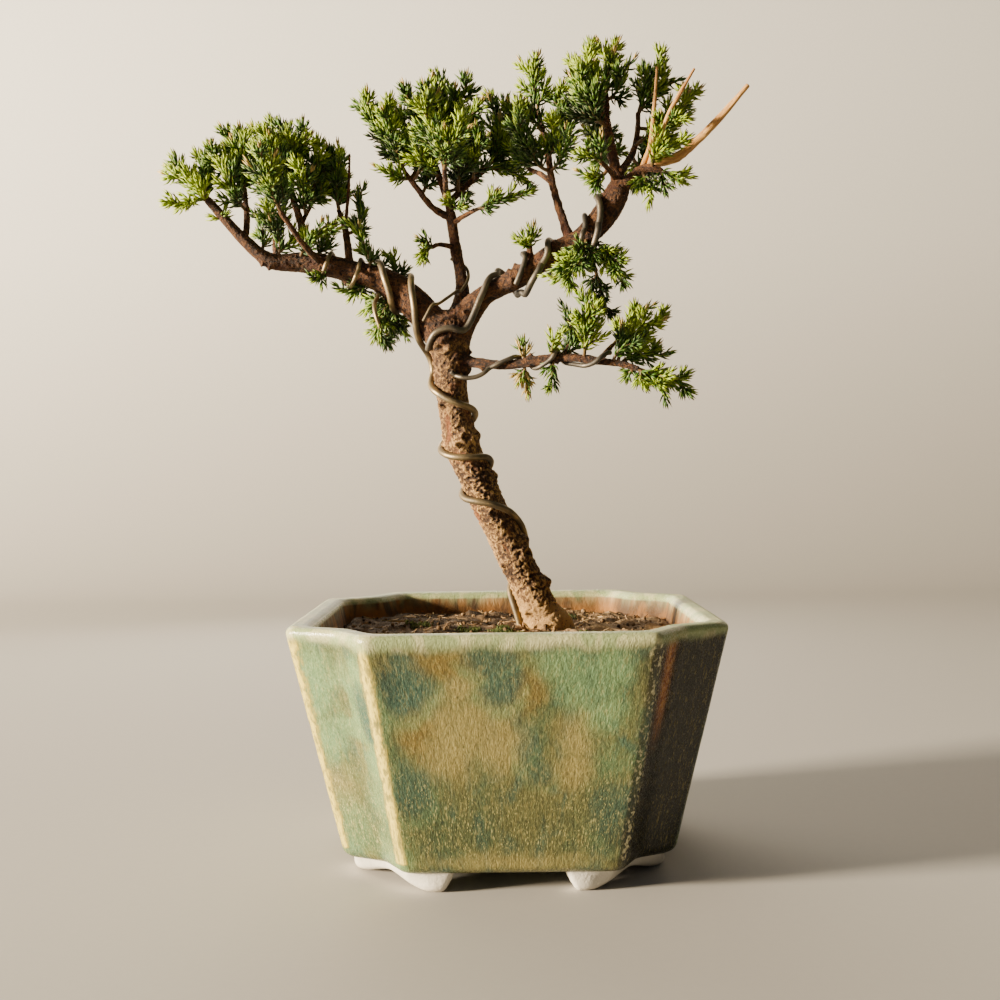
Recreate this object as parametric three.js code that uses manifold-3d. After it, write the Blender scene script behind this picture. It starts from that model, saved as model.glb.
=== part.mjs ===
// Juniper bonsai in a square glazed pot, in millimetres, +Z up.
// The pot stands on the surface at z = 0, its front face looks to -Y, and every size below is
// measured from the middle of the pot. At the end the whole tree is moved so that the origin
// is under the middle of its own plan, on that surface.

import * as THREE from 'three';
import { mergeVertices } from 'three/addons/utils/BufferGeometryUtils.js';
import Module from 'manifold-3d';

const wasm = await Module();
wasm.setup();

// Driving dimensions

const SEAT_GAP = 0.35;         // room between two pieces that touch on the real tree
const FACET_TOLERANCE = 0.03;  // facets smaller than this are merged after a join
const GOLDEN_ANGLE = 2.39996;  // turn from one needle to the next round a shoot
const FRONT = new THREE.Vector3(0, -1, 0);
const UP = new THREE.Vector3(0, 0, 1);

// The pot is square in plan. Each corner is pushed in, so that a corner reads as two
// small facets that meet in a hollow edge.
const POT = {
  width: 150,          // across the flat faces, at the rim
  baseWidth: 114.6,    // across the flat faces, at the bottom of the body
  face: 97.5,          // width of one flat face at the rim
  baseFace: 74,        // and at the bottom
  hollow: 56.6,        // the hollow edge of a corner lies at (hollow, hollow), at the rim
  baseHollow: 42.7,    // and at the bottom
  footHeight: 7,       // underside of the body above the surface
  height: 88,
  wall: 8.5,
  floorThickness: 8,
  rimRound: 1.7,
  baseRound: 4.5,
  cornerRadius: 4,
  hollowRadius: 6,
  drainHole: 16,
};

// One foot follows the pushed-in corner. Half of its outline, from the end of one arm to the
// diagonal, at the surface and where it meets the body; the other half is its mirror image.
const FOOT = {
  groundOuter: [[22, 55], [28.5, 55], [32.5, 52], [38.2, 45]],
  groundInner: [[22, 48.5], [28, 47], [32, 39]],
  groundOuterMiddle: 41.4,
  groundInnerMiddle: 34.5,
  bodyOuter: [[17, 55.2], [32.5, 55.2], [36, 52.5], [39.8, 44.6]],
  bodyInner: [[17, 46], [26.5, 44.5], [30.5, 36]],
  bodyOuterMiddle: 41.6,
  bodyInnerMiddle: 31,
  sunk: 1.5,           // how far a foot reaches up into the body
};

const SOIL = {
  surface: 80,         // mean height of the soil
  unevenness: 0.9,
  edgeDrop: 1,         // how much lower the soil lies along the wall
  wallGap: 0.45,
  trunkHoleDepth: 16,
  wireHoleDepth: 16,
};

// Wood: each limb is a list of [x, y, z, radius] along its middle line.
const TRUNK = [
  [16.4, 3, 64.6, 9.2], [16.2, 3, 78, 9.8], [14.4, 3, 82.6, 8], [10.8, 3, 90.9, 6.7], [7.5, 3, 98.5, 6.2],
  [3.9, 2, 106.2, 6.3], [0.3, 2, 113.8, 6.2], [-3.4, 1, 121.4, 6.0], [-7, 1, 128.9, 6.2],
  [-10.2, 0, 136.5, 6.1], [-13.4, 0, 143.2, 6.3], [-15.9, 0, 149.5, 6.5], [-17.3, 0, 157, 6.1],
  [-18.6, 0, 164.4, 5.8], [-19.6, 0, 171.8, 5.9], [-19.9, 0, 179.2, 6.1], [-19.7, 0, 186.6, 7.1],
  [-19.6, 0, 192.1, 7.1],
];
const BRANCHES = {
  left: [
    [-21.9, 0, 188.4, 6.3], [-28.8, 1, 197.8, 6], [-36.1, 2, 205.4, 5.6], [-43.5, 3, 210.7, 4.9],
    [-52.8, 4, 213.9, 4.1], [-63.8, 3, 216.6, 4.1], [-74.8, 2, 218.1, 3.7], [-83.7, 0, 218, 3],
    [-89.6, -2, 220.8, 2.4], [-95.7, -4, 226.5, 2], [-100.6, -6, 232.1, 1.8], [-106.6, -8, 239.1, 1.5],
  ],
  centre: [
    [-17.8, 2, 192.2, 6], [-15.5, 4, 200.4, 4.1], [-14.7, 6, 208, 2.8], [-15.4, 8, 214.9, 2.3],
    [-16.8, 9, 222.5, 2.3], [-17.8, 10, 229.3, 2.1], [-18.8, 10, 236.8, 2.2],
  ],
  right: [
    [-17.8, 0, 190.2, 5.9], [-12.1, -1, 199.2, 5.2], [-6.5, -2, 204.9, 4.4], [-0.9, -3, 207.7, 4.2],
    [6.5, -4, 211.1, 4.4], [13.8, -5, 216, 4.4], [21.1, -6, 219.7, 4.8], [28.4, -7, 223.1, 4.8],
    [35.7, -8, 229.7, 4.9], [40.9, -8, 237.5, 5.1], [43.5, -8, 242.9, 4],
  ],
  low: [
    [-19.7, -2, 182.8, 3.6], [-12.4, -3, 180.8, 2.3], [-6.8, -5, 179.9, 2], [0.5, -7, 179, 2],
    [9.6, -9, 179.8, 2], [18.6, -11, 181, 1.8], [25.7, -13, 180.8, 1.8], [32.9, -14, 179.6, 1.6],
    [41.8, -15, 178.3, 1.4], [48.1, -16, 176.4, 1.2],
  ],
};
const TWIGS = {
  leftEndTwig: [[-94.8, -3, 225.9, 1.5], [-94, -2, 232.5, 1.5], [-94.9, 0, 243.7, 1.1]],
  leftCrownTwig: [
    [-72.9, 2, 219.6, 1.9], [-74.9, 3, 232.9, 1.7], [-77, 3, 239.9, 1.5], [-78.7, 3, 246.9, 1.2],
  ],
  leftSpireTwig: [
    [-56.8, 3, 216.8, 1.9], [-57.9, 5, 226.3, 1.7], [-59, 6, 232.4, 1.5], [-61.3, 8, 238.6, 1.1],
  ],
  leftBackTwig: [[-83.9, 1, 218.1, 1.5], [-87.1, 16, 228.2, 1.3], [-88.4, 24, 236, 1.1]],
  leftNearTwig: [[-67.9, 0, 217.8, 1.6], [-72.4, -14, 223.1, 1.3], [-77.8, -23, 231.5, 1.1]],
  leftInnerTwig: [[-74.6, 3, 232.9, 1.2], [-71.8, 6, 239.9, 1]],
  leftBareTwig: [[-58.6, 6, 233.1, 1.2], [-56.8, 2, 244.2, 1], [-55.8, -1, 259, 0.7]],
  centreLeftTwig: [
    [-19.2, 10, 235.6, 1.9], [-25.8, 8, 239.2, 1.5], [-30.8, 6, 245.2, 1.4], [-35.5, 5, 251.3, 1.1],
  ],
  centreTopTwig: [
    [-18.8, 10, 236, 2.1], [-20.2, 10, 242.7, 1.9], [-22.4, 11, 248.8, 1.6], [-26, 12, 260.2, 1.1],
  ],
  centreRightTwig: [[-19.1, 10, 242, 1.7], [-14.3, 15, 247.9, 1.5], [-5.1, 21, 257.1, 1.1]],
  centreLowTwig: [[-17.1, 9, 224.3, 1.4], [-22.9, 4, 224.5, 1.1], [-25.8, 1, 223.1, 1]],
  centreScaleTwig: [[-18.1, 10, 233.9, 1.4], [-13.1, 3, 235.3, 1.1], [-10, 0, 236.2, 1]],
  centreNearTwig: [[-20.9, 10, 244.9, 1.4], [-20.4, -4, 246.3, 1.2], [-20.5, -10, 248.9, 1]],
  secondStem: [
    [24.1, -6, 222.6, 2.6], [22.1, -4, 230.5, 2], [20, -3, 237.2, 1.8], [17.3, -3, 248.8, 1.6],
    [17, -3, 256.7, 1.5], [13.6, -3, 271.9, 1.1],
  ],
  secondBackTwig: [[18.3, -3, 245.9, 1.4], [14.6, 6, 251.1, 1.2], [11.1, 12, 254.1, 1]],
  thirdStem: [
    [43.4, -8, 240.3, 2.9], [42.2, -6, 248.6, 2.6], [40.7, -4, 258, 2.2], [39.4, -3, 267.2, 1.7],
    [39.2, -3, 277.3, 1.3],
  ],
  fourthStem: [
    [43.6, -7, 247.7, 1.9], [49.5, 4, 257.6, 1.5], [51.8, 8, 266.4, 1.3], [52.3, 9, 273.9, 1.1],
  ],
  rightEndTwig: [
    [43.1, -8, 241.1, 3], [47.8, -12, 245.3, 2.3], [52.7, -14, 247.7, 1.9], [57, -18.5, 245.4, 1.2],
  ],
  thirdLowTwig: [[42.5, -7, 244.8, 1.6], [38.9, -16, 246.2, 1.2], [35.6, -22, 247.6, 1]],
  hangingTwig: [[30.7, -5, 220.8, 1.6], [33.4, 4, 218.1, 1.3], [35.5, 8, 214.8, 1.1]],
  firstTwig: [[10.6, -4, 215, 2.2], [10.2, -6, 221.3, 1.2]],
  lowUprightTwig: [[35, -14, 179.2, 1.3], [39.7, -11, 184.3, 1]],
  lowDarkTwig: [[21.5, -12, 181, 1.2], [24.2, -9, 184.5, 1]],
};
const JINS = {
  upright: [
    [50.6, -13.2, 246.8, 1.2], [53.9, -13, 255.7, 1.1], [55.7, -11, 268.8, 0.9], [57.2, -9, 285.2, 0.6],
  ],
  middle: [
    [53.4, -14.2, 248, 1.2], [58.2, -17, 261.2, 1.1], [61.5, -19, 268.4, 1], [68.8, -21, 280.4, 0.6],
  ],
  long: [
    [55.4, -14.6, 249, 1.3], [62.6, -15, 251.7, 1.8], [68.2, -16, 255.3, 1.6], [77.8, -19, 264, 1.3],
    [87.9, -22, 275, 0.8],
  ],
};
// Knobs where old twigs were cut off the trunk: [height, turn from the front, length, radius].
const KNOBS = [
  [96, 80, 3.2, 2.4], [112, 70, 2.6, 2.2], [121, 200, 2.6, 2.4], [136, 110, 2.4, 2.2], [151, 60, 2.6, 2.3],
  [167, 170, 2.4, 2.1], [176, 95, 2.8, 2.2],
];
const KNOB_RISE = 0.25;         // how much a knob looks up
const KNOB_TIP_SHARE = 0.5;    // radius of its cut end, as a share of its own
const SIDES = { trunk: 10, branch: 7, twig: 4, jin: 5, knob: 5, wire: 5, core: 3, hole: 16 };
const BARK_RELIEF = 0.1;       // depth of the bark's furrows, as a share of the limb's radius

// Wires: the middle line of each, from end to end, as it winds round the wood.
const WIRES = {
  wire_main: { radius: 1.45, points: [
    [3.9, 2, 65], [3.5, 2, 80.5], [2.4, 3, 90.9], [2.3, 6, 97.1], [5.5, 11, 103], [8.2, 8, 110.1],
    [6.3, 3, 117.7], [4.1, -3, 123.8], [-2.2, -7, 126.7], [-9.5, -6, 128.2], [-14.7, -1, 130.2],
    [-14.8, 5, 133.3],
    [-9.6, 8.5, 136.5], [-5.7, 5, 140.7], [-5.6, -2, 144.2], [-12.9, -8, 144.5], [-19.5, -6, 145],
    [-23, 0, 147.8], [-22, 6, 151.4], [-16.8, 8, 155.1], [-11.4, 4, 159.1], [-10.9, -2, 162],
    [-16.2, -7.5, 164.3], [-21.7, -7, 166.5], [-25.8, -2, 170.7], [-27.1, 4, 176.1], [-28.5, 4, 181],
    [-30.9, 1, 185.7], [-32, -4, 192], [-32.4, -6, 199.9], [-33.5, -4, 206.6], [-35.3, 2, 210.9],
    [-38, 9, 209.4], [-39.3, 9, 203.1], [-40.5, 4, 198.6], [-41.8, -3, 202.1], [-42.3, -4, 207.5],
    [-44.3, -1, 213.6], [-46.8, 4, 217.2],
  ] },
  wire_right: { radius: 1.45, points: [
    [-28.6, -5, 184], [-27, -7.5, 187.5], [-24.4, -9, 190.5], [-19.3, -9.5, 191.8], [-15, -8.5, 190.8],
    [-12.1, -8, 192], [-9.8, -8, 197.6], [-7.1, -8, 205.1], [-4.5, -5, 211.5], [-1.2, 1, 213.9],
    [2.9, 4.5, 210.5], [5.7, 2, 205.1], [8.2, -5, 203.7], [11, -11, 208.2], [14.7, -11.5, 214.1],
    [17.8, -8, 220.2], [19.3, 0, 224.5], [24.5, 3, 220.3], [28, 0, 216.3], [30.8, -8, 215.4],
    [33.3, -14.5, 220.6], [35.1, -15.5, 227.6], [36, -12, 235.5], [36.4, -5, 239.3],
  ] },
  wire_right_second: { radius: 1.2, points: [
    [5.2, -9.5, 206.8], [6.4, -10.5, 210.8], [8.2, -8.5, 216.7], [9.8, -2.5, 219.4], [13.2, 2, 218.6],
    [17.2, 2.5, 213.9], [21.3, -2, 212.2], [24.8, -9.5, 213.8], [27.6, -13.5, 219.1], [29.6, -14.5, 226.1],
    [30.2, -10, 231.5], [30.4, -5, 232.6],
  ] },
  wire_left: { radius: 1.2, points: [
    [-45, -6, 192.5], [-46.4, -6, 196.8], [-47.2, -4, 201], [-46.8, 1, 204.7], [-47.9, 8, 209.8],
    [-50.6, 9, 216.3], [-52.4, 5, 219.6], [-52.4, -1, 218.4], [-53.4, -3, 213.2], [-55.8, -1, 208.8],
    [-57.8, 4, 208.1], [-60.5, 9, 212], [-62.2, 9, 218], [-63.2, 5, 221.6], [-63.7, 0, 220.6],
    [-64.9, -3.5, 215.9], [-67.1, -1, 211.5], [-70, 4, 211.6], [-71.3, 8, 215.5],
  ] },
  wire_low: { radius: 1, points: [
    [-18.9, -8, 176.7], [-14.9, -8.5, 174.4], [-9.4, -9, 174.7], [-4.7, -9.5, 177.5], [-0.6, -10.5, 180.3],
    [3.1, -9.5, 182.4], [6, -6, 183.3], [9, -4.5, 181.1], [11, -7, 177.3], [13.5, -11, 177.1],
    [16.7, -14, 179.5], [19.6, -13, 183.1], [22.3, -9.5, 179.2], [24.6, -10.5, 177.3], [28.1, -13, 176.6],
    [31, -16.5, 177], [33.8, -17.5, 179.4], [36.4, -16.5, 181.8], [38.4, -14, 182.1],
  ] },
  wire_thin: { radius: 0.8, points: [
    [-28.9, -8, 194.5], [-27.3, -8.5, 197.3], [-25.4, -8, 200.6], [-23.3, -5, 203.8], [-20.1, 0, 207.2],
    [-16.1, 2, 209.5], [-12.4, 4, 212.2], [-11.7, 9, 215.7], [-15.1, 12.5, 218.7], [-18.7, 10, 220.4],
  ] },
};
const WIRE_STEPS_PER_POINT = 1.6;
const WIRE_PASSES = 8;         // rounds of moving a wire's points out of the wood
const WIRE_PUSH = 0.6;         // share of the missing room that each end of a stretch is moved by

// Foliage: each spray grows from a limb, at its end or at a share of its length, and its last
// needle reaches a given point. It is a leafy stem with a few side shoots:
// [limb, place, reach, side shoots].
const SPRAYS = {
  left_tip: ['left', 1, [-124.8, -6, 256.4], 3],
  left_front: ['left', 0.86, [-120.8, -20, 241.8], 3],
  left_rise: ['leftEndTwig', 1, [-101.2, 4, 269.4], 4],
  left_back: ['leftBackTwig', 1, [-96.4, 42, 275.6], 4],
  left_near: ['leftNearTwig', 1, [-83.0, -40, 254.7], 4],
  left_crown: ['leftCrownTwig', 1, [-80.0, 6, 272.4], 4],
  left_inner: ['leftInnerTwig', 1, [-66.2, 22, 256.6], 2],
  left_spire: ['leftSpireTwig', 1, [-62.9, 11, 263], 2],
  left_spire_side: ['leftSpireTwig', 0.5, [-48.5, 16, 247.4], 2],
  left_top_outer: ['left', 0.333, [-47, -8, 230.8], 2],
  left_top_inner: ['left', 0.26, [-37.4, 14, 227.3], 2],
  left_cluster: ['left', 0.64, [-84.8, -10, 239.5], 2],
  left_under: ['left', 0.37, [-51, 15, 201], 2],
  left_fork: ['left', 0.255, [-41.5, 13, 188], 2],
  centre_left: ['centreLeftTwig', 1, [-52.7, 2, 279.8], 4],
  centre_side: ['centreLeftTwig', 0.45, [-44.6, -8, 246.5], 2],
  centre_top: ['centreTopTwig', 1, [-22.1, 14, 291.0], 5],
  centre_near: ['centreNearTwig', 1, [-27.7, -28, 272.6], 5],
  centre_right: ['centreRightTwig', 1, [-0.4, 26, 286.0], 4],
  centre_right_near: ['centreRightTwig', 0.3, [-9.3, -4, 276.4], 4],
  centre_back: ['centreTopTwig', 0.5, [-17.1, 42, 283.7], 4],
  centre_low: ['centreLowTwig', 1, [-37.1, -7, 226.3], 2],
  centre_scale: ['centreScaleTwig', 1, [8.3, -8, 241.9], 3],
  right_first: ['firstTwig', 1, [6.6, -12, 230.1], 2],
  second_top: ['secondStem', 1, [11.3, -2, 291.6], 3],
  second_right: ['secondStem', 0.8, [24.3, 12, 289.8], 3],
  second_left: ['secondStem', 0.62, [2.6, -15, 272.1], 3],
  second_back: ['secondBackTwig', 1, [2.3, 25, 265.6], 2],
  second_low: ['secondStem', 0.42, [25.7, -21, 260.1], 2],
  third_top: ['thirdStem', 1, [41.2, -3, 299.1], 4],
  third_left: ['thirdStem', 0.7, [26.7, -14, 285.5], 3],
  third_right: ['thirdStem', 0.82, [48.1, -14, 288.0], 3],
  third_low: ['thirdLowTwig', 1, [26.6, -34, 252.4], 2],
  third_back: ['thirdStem', 0.45, [34.7, 25, 268.5], 2],
  fourth_top: ['fourthStem', 1, [61.1, 12, 297.0], 3],
  fourth_right: ['fourthStem', 0.75, [77.0, 22, 283.9], 3],
  fourth_low: ['fourthStem', 0.3, [62.4, 26, 259.1], 2],
  right_end: ['rightEndTwig', 1, [66.1, -25, 238.8], 2],
  right_jin: ['rightEndTwig', 0.7, [69.5, 1, 262.6], 2],
  hang_near: ['right', 0.72, [22, -23, 205.8], 2],
  hang_middle: ['hangingTwig', 1, [38.2, 13, 198], 2],
  hang_far: ['right', 0.8, [41.1, -24, 208.9], 3],
  low_under_near: ['low', 0.35, [5.9, -2, 166], 2],
  low_under_far: ['low', 0.55, [17, -19, 165.4], 2],
  low_bright: ['low', 0.5, [14.2, -24, 191.5], 2],
  low_dark: ['lowDarkTwig', 1, [22.3, 1, 203.2], 2],
  low_big: ['low', 0.72, [29.7, -29, 201.6], 3],
  low_upright: ['lowUprightTwig', 1, [46.9, -2, 201], 2],
  low_far: ['low', 0.88, [59.4, -14, 200.7], 2],
  low_tip: ['low', 1, [69.0, -18, 170.3], 3],
};
const SHOOT = {
  stemRadius: 1.1,     // slim woody core of a spray, at its root
  tipRadius: 0.8,
  stemSteps: 3,        // straight stretches that a stem's bend is made of
  bendShare: 0.45,     // where on its length a stem has turned from the limb to the light
  endTurn: 0.6,        // how much a stem at a limb's end first follows the limb
  squareness: 0.9,     // and how squarely a stem leaves the side of a limb
  firstSide: 0.18,     // place of the first side shoot on the stem, and of the last
  lastSide: 0.8,
  sideLength: 12.6,    // a side shoot at the root of the stem
  sideTaper: 0.41,     // and the share of that length which it loses towards the tip
  crowdedShare: 0.75,  // length that is left to a side shoot with little room
  sideAngle: 0.9,      // lean of a side shoot from the stem
  lift: 0.3,           // how much a side shoot turns up to the light
  sideRoom: 1,         // free room round a side shoot
  sideTurn: 0.63,      // turn round the stem in the search for it
  sideTurns: 10,
};
// Needles stand in rows on the three faces of a shoot's core.
const NEEDLE = {
  length: 6.8,         // from the middle of the shoot to the point
  halfWidth: 0.5,
  baseShare: 0.48,     // half width at the root, as a share of the core's radius
  tipShare: 0.4,       // and of the last needle
  shortenings: [1, 0.8, 0.62],
  spacing: 3,          // along the shoot
  firstPlace: 0.35,    // place of the first needle, in steps of that spacing
  rootLean: 1.1,       // lean from the shoot at its root
  tipLean: 0.62,       // and at its tip
};

// Colour, roughness and metalness of each finish
const FINISH = {
  glaze: { color: 0x6f8f74, roughness: 0.25, metalness: 0 },
  soil: { color: 0x6b5138, roughness: 0.95, metalness: 0 },
  bark: { color: 0x8a5f43, roughness: 0.9, metalness: 0 },
  wire: { color: 0x9a8a74, roughness: 0.45, metalness: 0.8 },
  foliage: { color: 0x4f6b2f, roughness: 0.7, metalness: 0 },
};

// Solids

// A material of one of the finishes, shown with flat facets.
function material(finish) {
  return new THREE.MeshStandardMaterial({ ...finish, flatShading: true });
}

// Builds a geometry from corner points and triangles, with its faces turned outwards.
function facetedGeometry(corners, triangles) {
  const geometry = new THREE.BufferGeometry();
  const numbers = corners.flatMap((corner) => [corner.x, corner.y, corner.z]);
  geometry.setAttribute('position', new THREE.Float32BufferAttribute(numbers, 3));
  let volume = 0;
  for (const [a, b, c] of triangles) {
    volume += corners[a].dot(new THREE.Vector3().crossVectors(corners[b], corners[c]));
  }
  const outward = volume > 0 ? triangles : triangles.map(([a, b, c]) => [a, c, b]);
  geometry.setIndex(outward.flat());
  return geometry;
}

// Joins rings of points into a skin. The ends are closed flat, or, where the rings come back
// to the first one, the skin is a closed ring with a hole through it.
function loft(rings, comesBack = false) {
  const count = rings[0].length;
  const corners = rings.flat();
  const triangles = [];
  const last = comesBack ? rings.length : rings.length - 1;
  for (let level = 0; level < last; level += 1) {
    const here = level * count;
    const next = ((level + 1) % rings.length) * count;
    for (let i = 0; i < count; i += 1) {
      const j = (i + 1) % count;
      triangles.push([here + i, here + j, next + j], [here + i, next + j, next + i]);
    }
  }
  if (!comesBack) {
    const end = (rings.length - 1) * count;
    for (let i = 1; i < count - 1; i += 1) {
      triangles.push([0, i + 1, i], [end, end + i, end + i + 1]);
    }
  }
  return facetedGeometry(corners, triangles);
}

// Turns a closed geometry into a solid that can be joined and cut.
function solid(geometry) {
  geometry.deleteAttribute('normal');
  geometry.deleteAttribute('uv');
  const merged = mergeVertices(geometry, 1e-4);
  return new wasm.Manifold(new wasm.Mesh({
    numProp: 3,
    vertProperties: new Float32Array(merged.attributes.position.array),
    triVerts: new Uint32Array(merged.index.array),
  }));
}

// Turns a solid back into a geometry.
function geometryOf(body) {
  const mesh = body.getMesh();
  const geometry = new THREE.BufferGeometry();
  geometry.setAttribute('position', new THREE.BufferAttribute(mesh.vertProperties, 3));
  geometry.setIndex(new THREE.BufferAttribute(mesh.triVerts, 1));
  geometry.computeVertexNormals();
  return geometry;
}

// Joins a list of solids into one, merges the slivers that the joints leave, and keeps the
// outer skin alone, so that a small hollow shut in between limbs is filled.
function joined(bodies) {
  const whole = bodies.reduce((sum, body) => sum.add(body)).asOriginal().simplify(FACET_TOLERANCE);
  return whole.decompose().reduce((largest, skin) => (skin.volume() > largest.volume() ? skin : largest));
}

function namedMesh(name, body, finish) {
  const mesh = new THREE.Mesh(geometryOf(body), material(finish));
  mesh.name = name;
  return mesh;
}

// Directions at the points of a line, each square to the next: tangent, side and rise.
function framesAlong(points) {
  const frames = [];
  let side = null;
  points.forEach((point, i) => {
    const before = points[Math.max(i - 1, 0)];
    const after = points[Math.min(i + 1, points.length - 1)];
    const tangent = new THREE.Vector3().subVectors(after, before).normalize();
    if (!side) {
      side = new THREE.Vector3().crossVectors(tangent, Math.abs(tangent.y) < 0.9 ? FRONT : UP).normalize();
    }
    side = side.clone().addScaledVector(tangent, -side.dot(tangent)).normalize();
    frames.push({ tangent, side, rise: new THREE.Vector3().crossVectors(tangent, side) });
  });
  return frames;
}

// A round limb along a line, with a radius for each point. Relief makes furrows in it: waves
// round each ring, which wander from one ring to the next.
function limb(points, radii, sides, relief = 0) {
  const frames = framesAlong(points);
  const rings = points.map((point, i) => {
    const ring = [];
    for (let s = 0; s < sides; s += 1) {
      const turn = (2 * Math.PI * s) / sides;
      const furrow = 0.5 + 0.5 * Math.sin(3 * turn + 1.9 * i) * Math.cos(2 * turn - 1.3 * i);
      const radius = radii[i] * (1 - relief * furrow);
      ring.push(point.clone()
        .addScaledVector(frames[i].side, radius * Math.cos(turn))
        .addScaledVector(frames[i].rise, radius * Math.sin(turn)));
    }
    return ring;
  });
  return solid(loft(rings));
}

// Clearance: every limb, wire, core and needle is kept as a row of round rods. A rod notes the
// node that it belongs to, and a core's rod also the shoot.

const rods = [];

function addRod(owner, start, end, startRadius, endRadius, shoot = null) {
  rods.push({ owner, start, end, startRadius, endRadius, shoot });
}

// Shortest way between two straight rods, and the share of the second at which it lies.
function betweenRods(p1, q1, p2, q2) {
  const d1 = new THREE.Vector3().subVectors(q1, p1);
  const d2 = new THREE.Vector3().subVectors(q2, p2);
  const offset = new THREE.Vector3().subVectors(p1, p2);
  const a = Math.max(d1.lengthSq(), 1e-9);
  const e = Math.max(d2.lengthSq(), 1e-9);
  const b = d1.dot(d2);
  const c = d1.dot(offset);
  const f = d2.dot(offset);
  const crossing = a * e - b * b;
  let s = crossing > 1e-9 ? THREE.MathUtils.clamp((b * f - c * e) / crossing, 0, 1) : 0;
  const t = THREE.MathUtils.clamp((b * s + f) / e, 0, 1);
  s = THREE.MathUtils.clamp((b * t - c) / a, 0, 1);
  const onFirst = p1.clone().addScaledVector(d1, s);
  const onSecond = p2.clone().addScaledVector(d2, t);
  return { way: onFirst.sub(onSecond), share: t };
}

// Free room between a new rod and a choice of the rods that are already there.
function roomAround(start, end, radius, chosen) {
  let room = Infinity;
  for (const rod of chosen) {
    const { way, share } = betweenRods(start, end, rod.start, rod.end);
    const thickness = rod.startRadius + (rod.endRadius - rod.startRadius) * share;
    room = Math.min(room, way.length() - thickness - radius);
  }
  return room;
}

function rodsOf(owner) {
  return rods.filter((rod) => rod.owner === owner);
}

function rodsOfOthers(owner) {
  return rods.filter((rod) => rod.owner !== owner);
}

// Pot

// Rounds the corners of a closed outline, with arcs of three points.
function roundedOutline(corners, radii) {
  const outline = [];
  corners.forEach((corner, i) => {
    const before = corners[(i + corners.length - 1) % corners.length];
    const after = corners[(i + 1) % corners.length];
    const toBefore = before.clone().sub(corner).normalize();
    const toAfter = after.clone().sub(corner).normalize();
    const halfAngle = Math.acos(THREE.MathUtils.clamp(toBefore.dot(toAfter), -1, 1)) / 2;
    const reach = radii[i] / Math.tan(halfAngle);
    const start = corner.clone().addScaledVector(toBefore, reach);
    const end = corner.clone().addScaledVector(toAfter, reach);
    const bisector = toBefore.clone().add(toAfter).normalize();
    const rise = radii[i] / Math.sin(halfAngle) - radii[i];
    outline.push(start, corner.clone().addScaledVector(bisector, rise), end);
  });
  return outline;
}

// The pot's outline at a height, pushed in by inset: eight outer corners and four hollow ones.
function potOutline(height, inset) {
  const share = (height - POT.footHeight) / (POT.height - POT.footHeight);
  const half = THREE.MathUtils.lerp(POT.baseWidth, POT.width, share) / 2;
  const face = THREE.MathUtils.lerp(POT.baseFace, POT.face, share) / 2;
  const hollow = THREE.MathUtils.lerp(POT.baseHollow, POT.hollow, share);
  const slant = new THREE.Vector2(hollow - face, hollow - half).normalize();
  const outwards = new THREE.Vector2(-slant.y, slant.x);
  const point = new THREE.Vector2(face, half).addScaledVector(outwards, -inset);
  const cornerX = point.x + (slant.x * (half - inset - point.y)) / slant.y;
  const reach = (point.y - point.x) / (slant.x - slant.y);
  const hollowX = point.x + slant.x * reach;
  const corners = [];
  for (let quarter = 0; quarter < 4; quarter += 1) {
    const turn = (-quarter * Math.PI) / 2;
    const origin = new THREE.Vector2(0, 0);
    corners.push(new THREE.Vector2(cornerX, half - inset).rotateAround(origin, turn));
    corners.push(new THREE.Vector2(hollowX, hollowX).rotateAround(origin, turn));
    corners.push(new THREE.Vector2(half - inset, cornerX).rotateAround(origin, turn));
  }
  const radii = corners.map((corner, i) => (i % 3 === 1 ? POT.hollowRadius : POT.cornerRadius));
  return roundedOutline(corners, radii).map((p) => new THREE.Vector3(p.x, p.y, height));
}

// A circle with one point for each point of an outline, which starts on its first flat face.
function circleLike(outline, radius, height) {
  const perCorner = outline.length / 4;
  return Array.from(outline.keys(), (i) => {
    const turn = Math.PI / 4 - (2 * Math.PI * (i - (perCorner - 1) / 2)) / outline.length;
    return new THREE.Vector3(radius * Math.cos(turn), radius * Math.sin(turn), height);
  });
}

// One foot, under the corner that is so many quarter turns round from the first.
function footSolid(quarter) {
  const ring = (outer, inner, outerMiddle, innerMiddle, height) => {
    const mirrored = (half) => half.map(([x, y]) => [y, x]).reverse();
    const plan = [
      ...outer, [outerMiddle, outerMiddle], ...mirrored(outer),
      ...mirrored(inner).reverse(), [innerMiddle, innerMiddle], ...inner.slice().reverse(),
    ];
    const origin = new THREE.Vector2(0, 0);
    return plan.map(([x, y]) => {
      const p = new THREE.Vector2(x, y).rotateAround(origin, (quarter * Math.PI) / 2);
      return new THREE.Vector3(p.x, p.y, height);
    });
  };
  const { groundOuter, groundInner, groundOuterMiddle, groundInnerMiddle } = FOOT;
  const { bodyOuter, bodyInner, bodyOuterMiddle, bodyInnerMiddle } = FOOT;
  const topHeight = POT.footHeight + FOOT.sunk;
  const ground = ring(groundOuter, groundInner, groundOuterMiddle, groundInnerMiddle, 0);
  const top = ring(bodyOuter, bodyInner, bodyOuterMiddle, bodyInnerMiddle, topHeight);
  return prism(ground, top);
}

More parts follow.
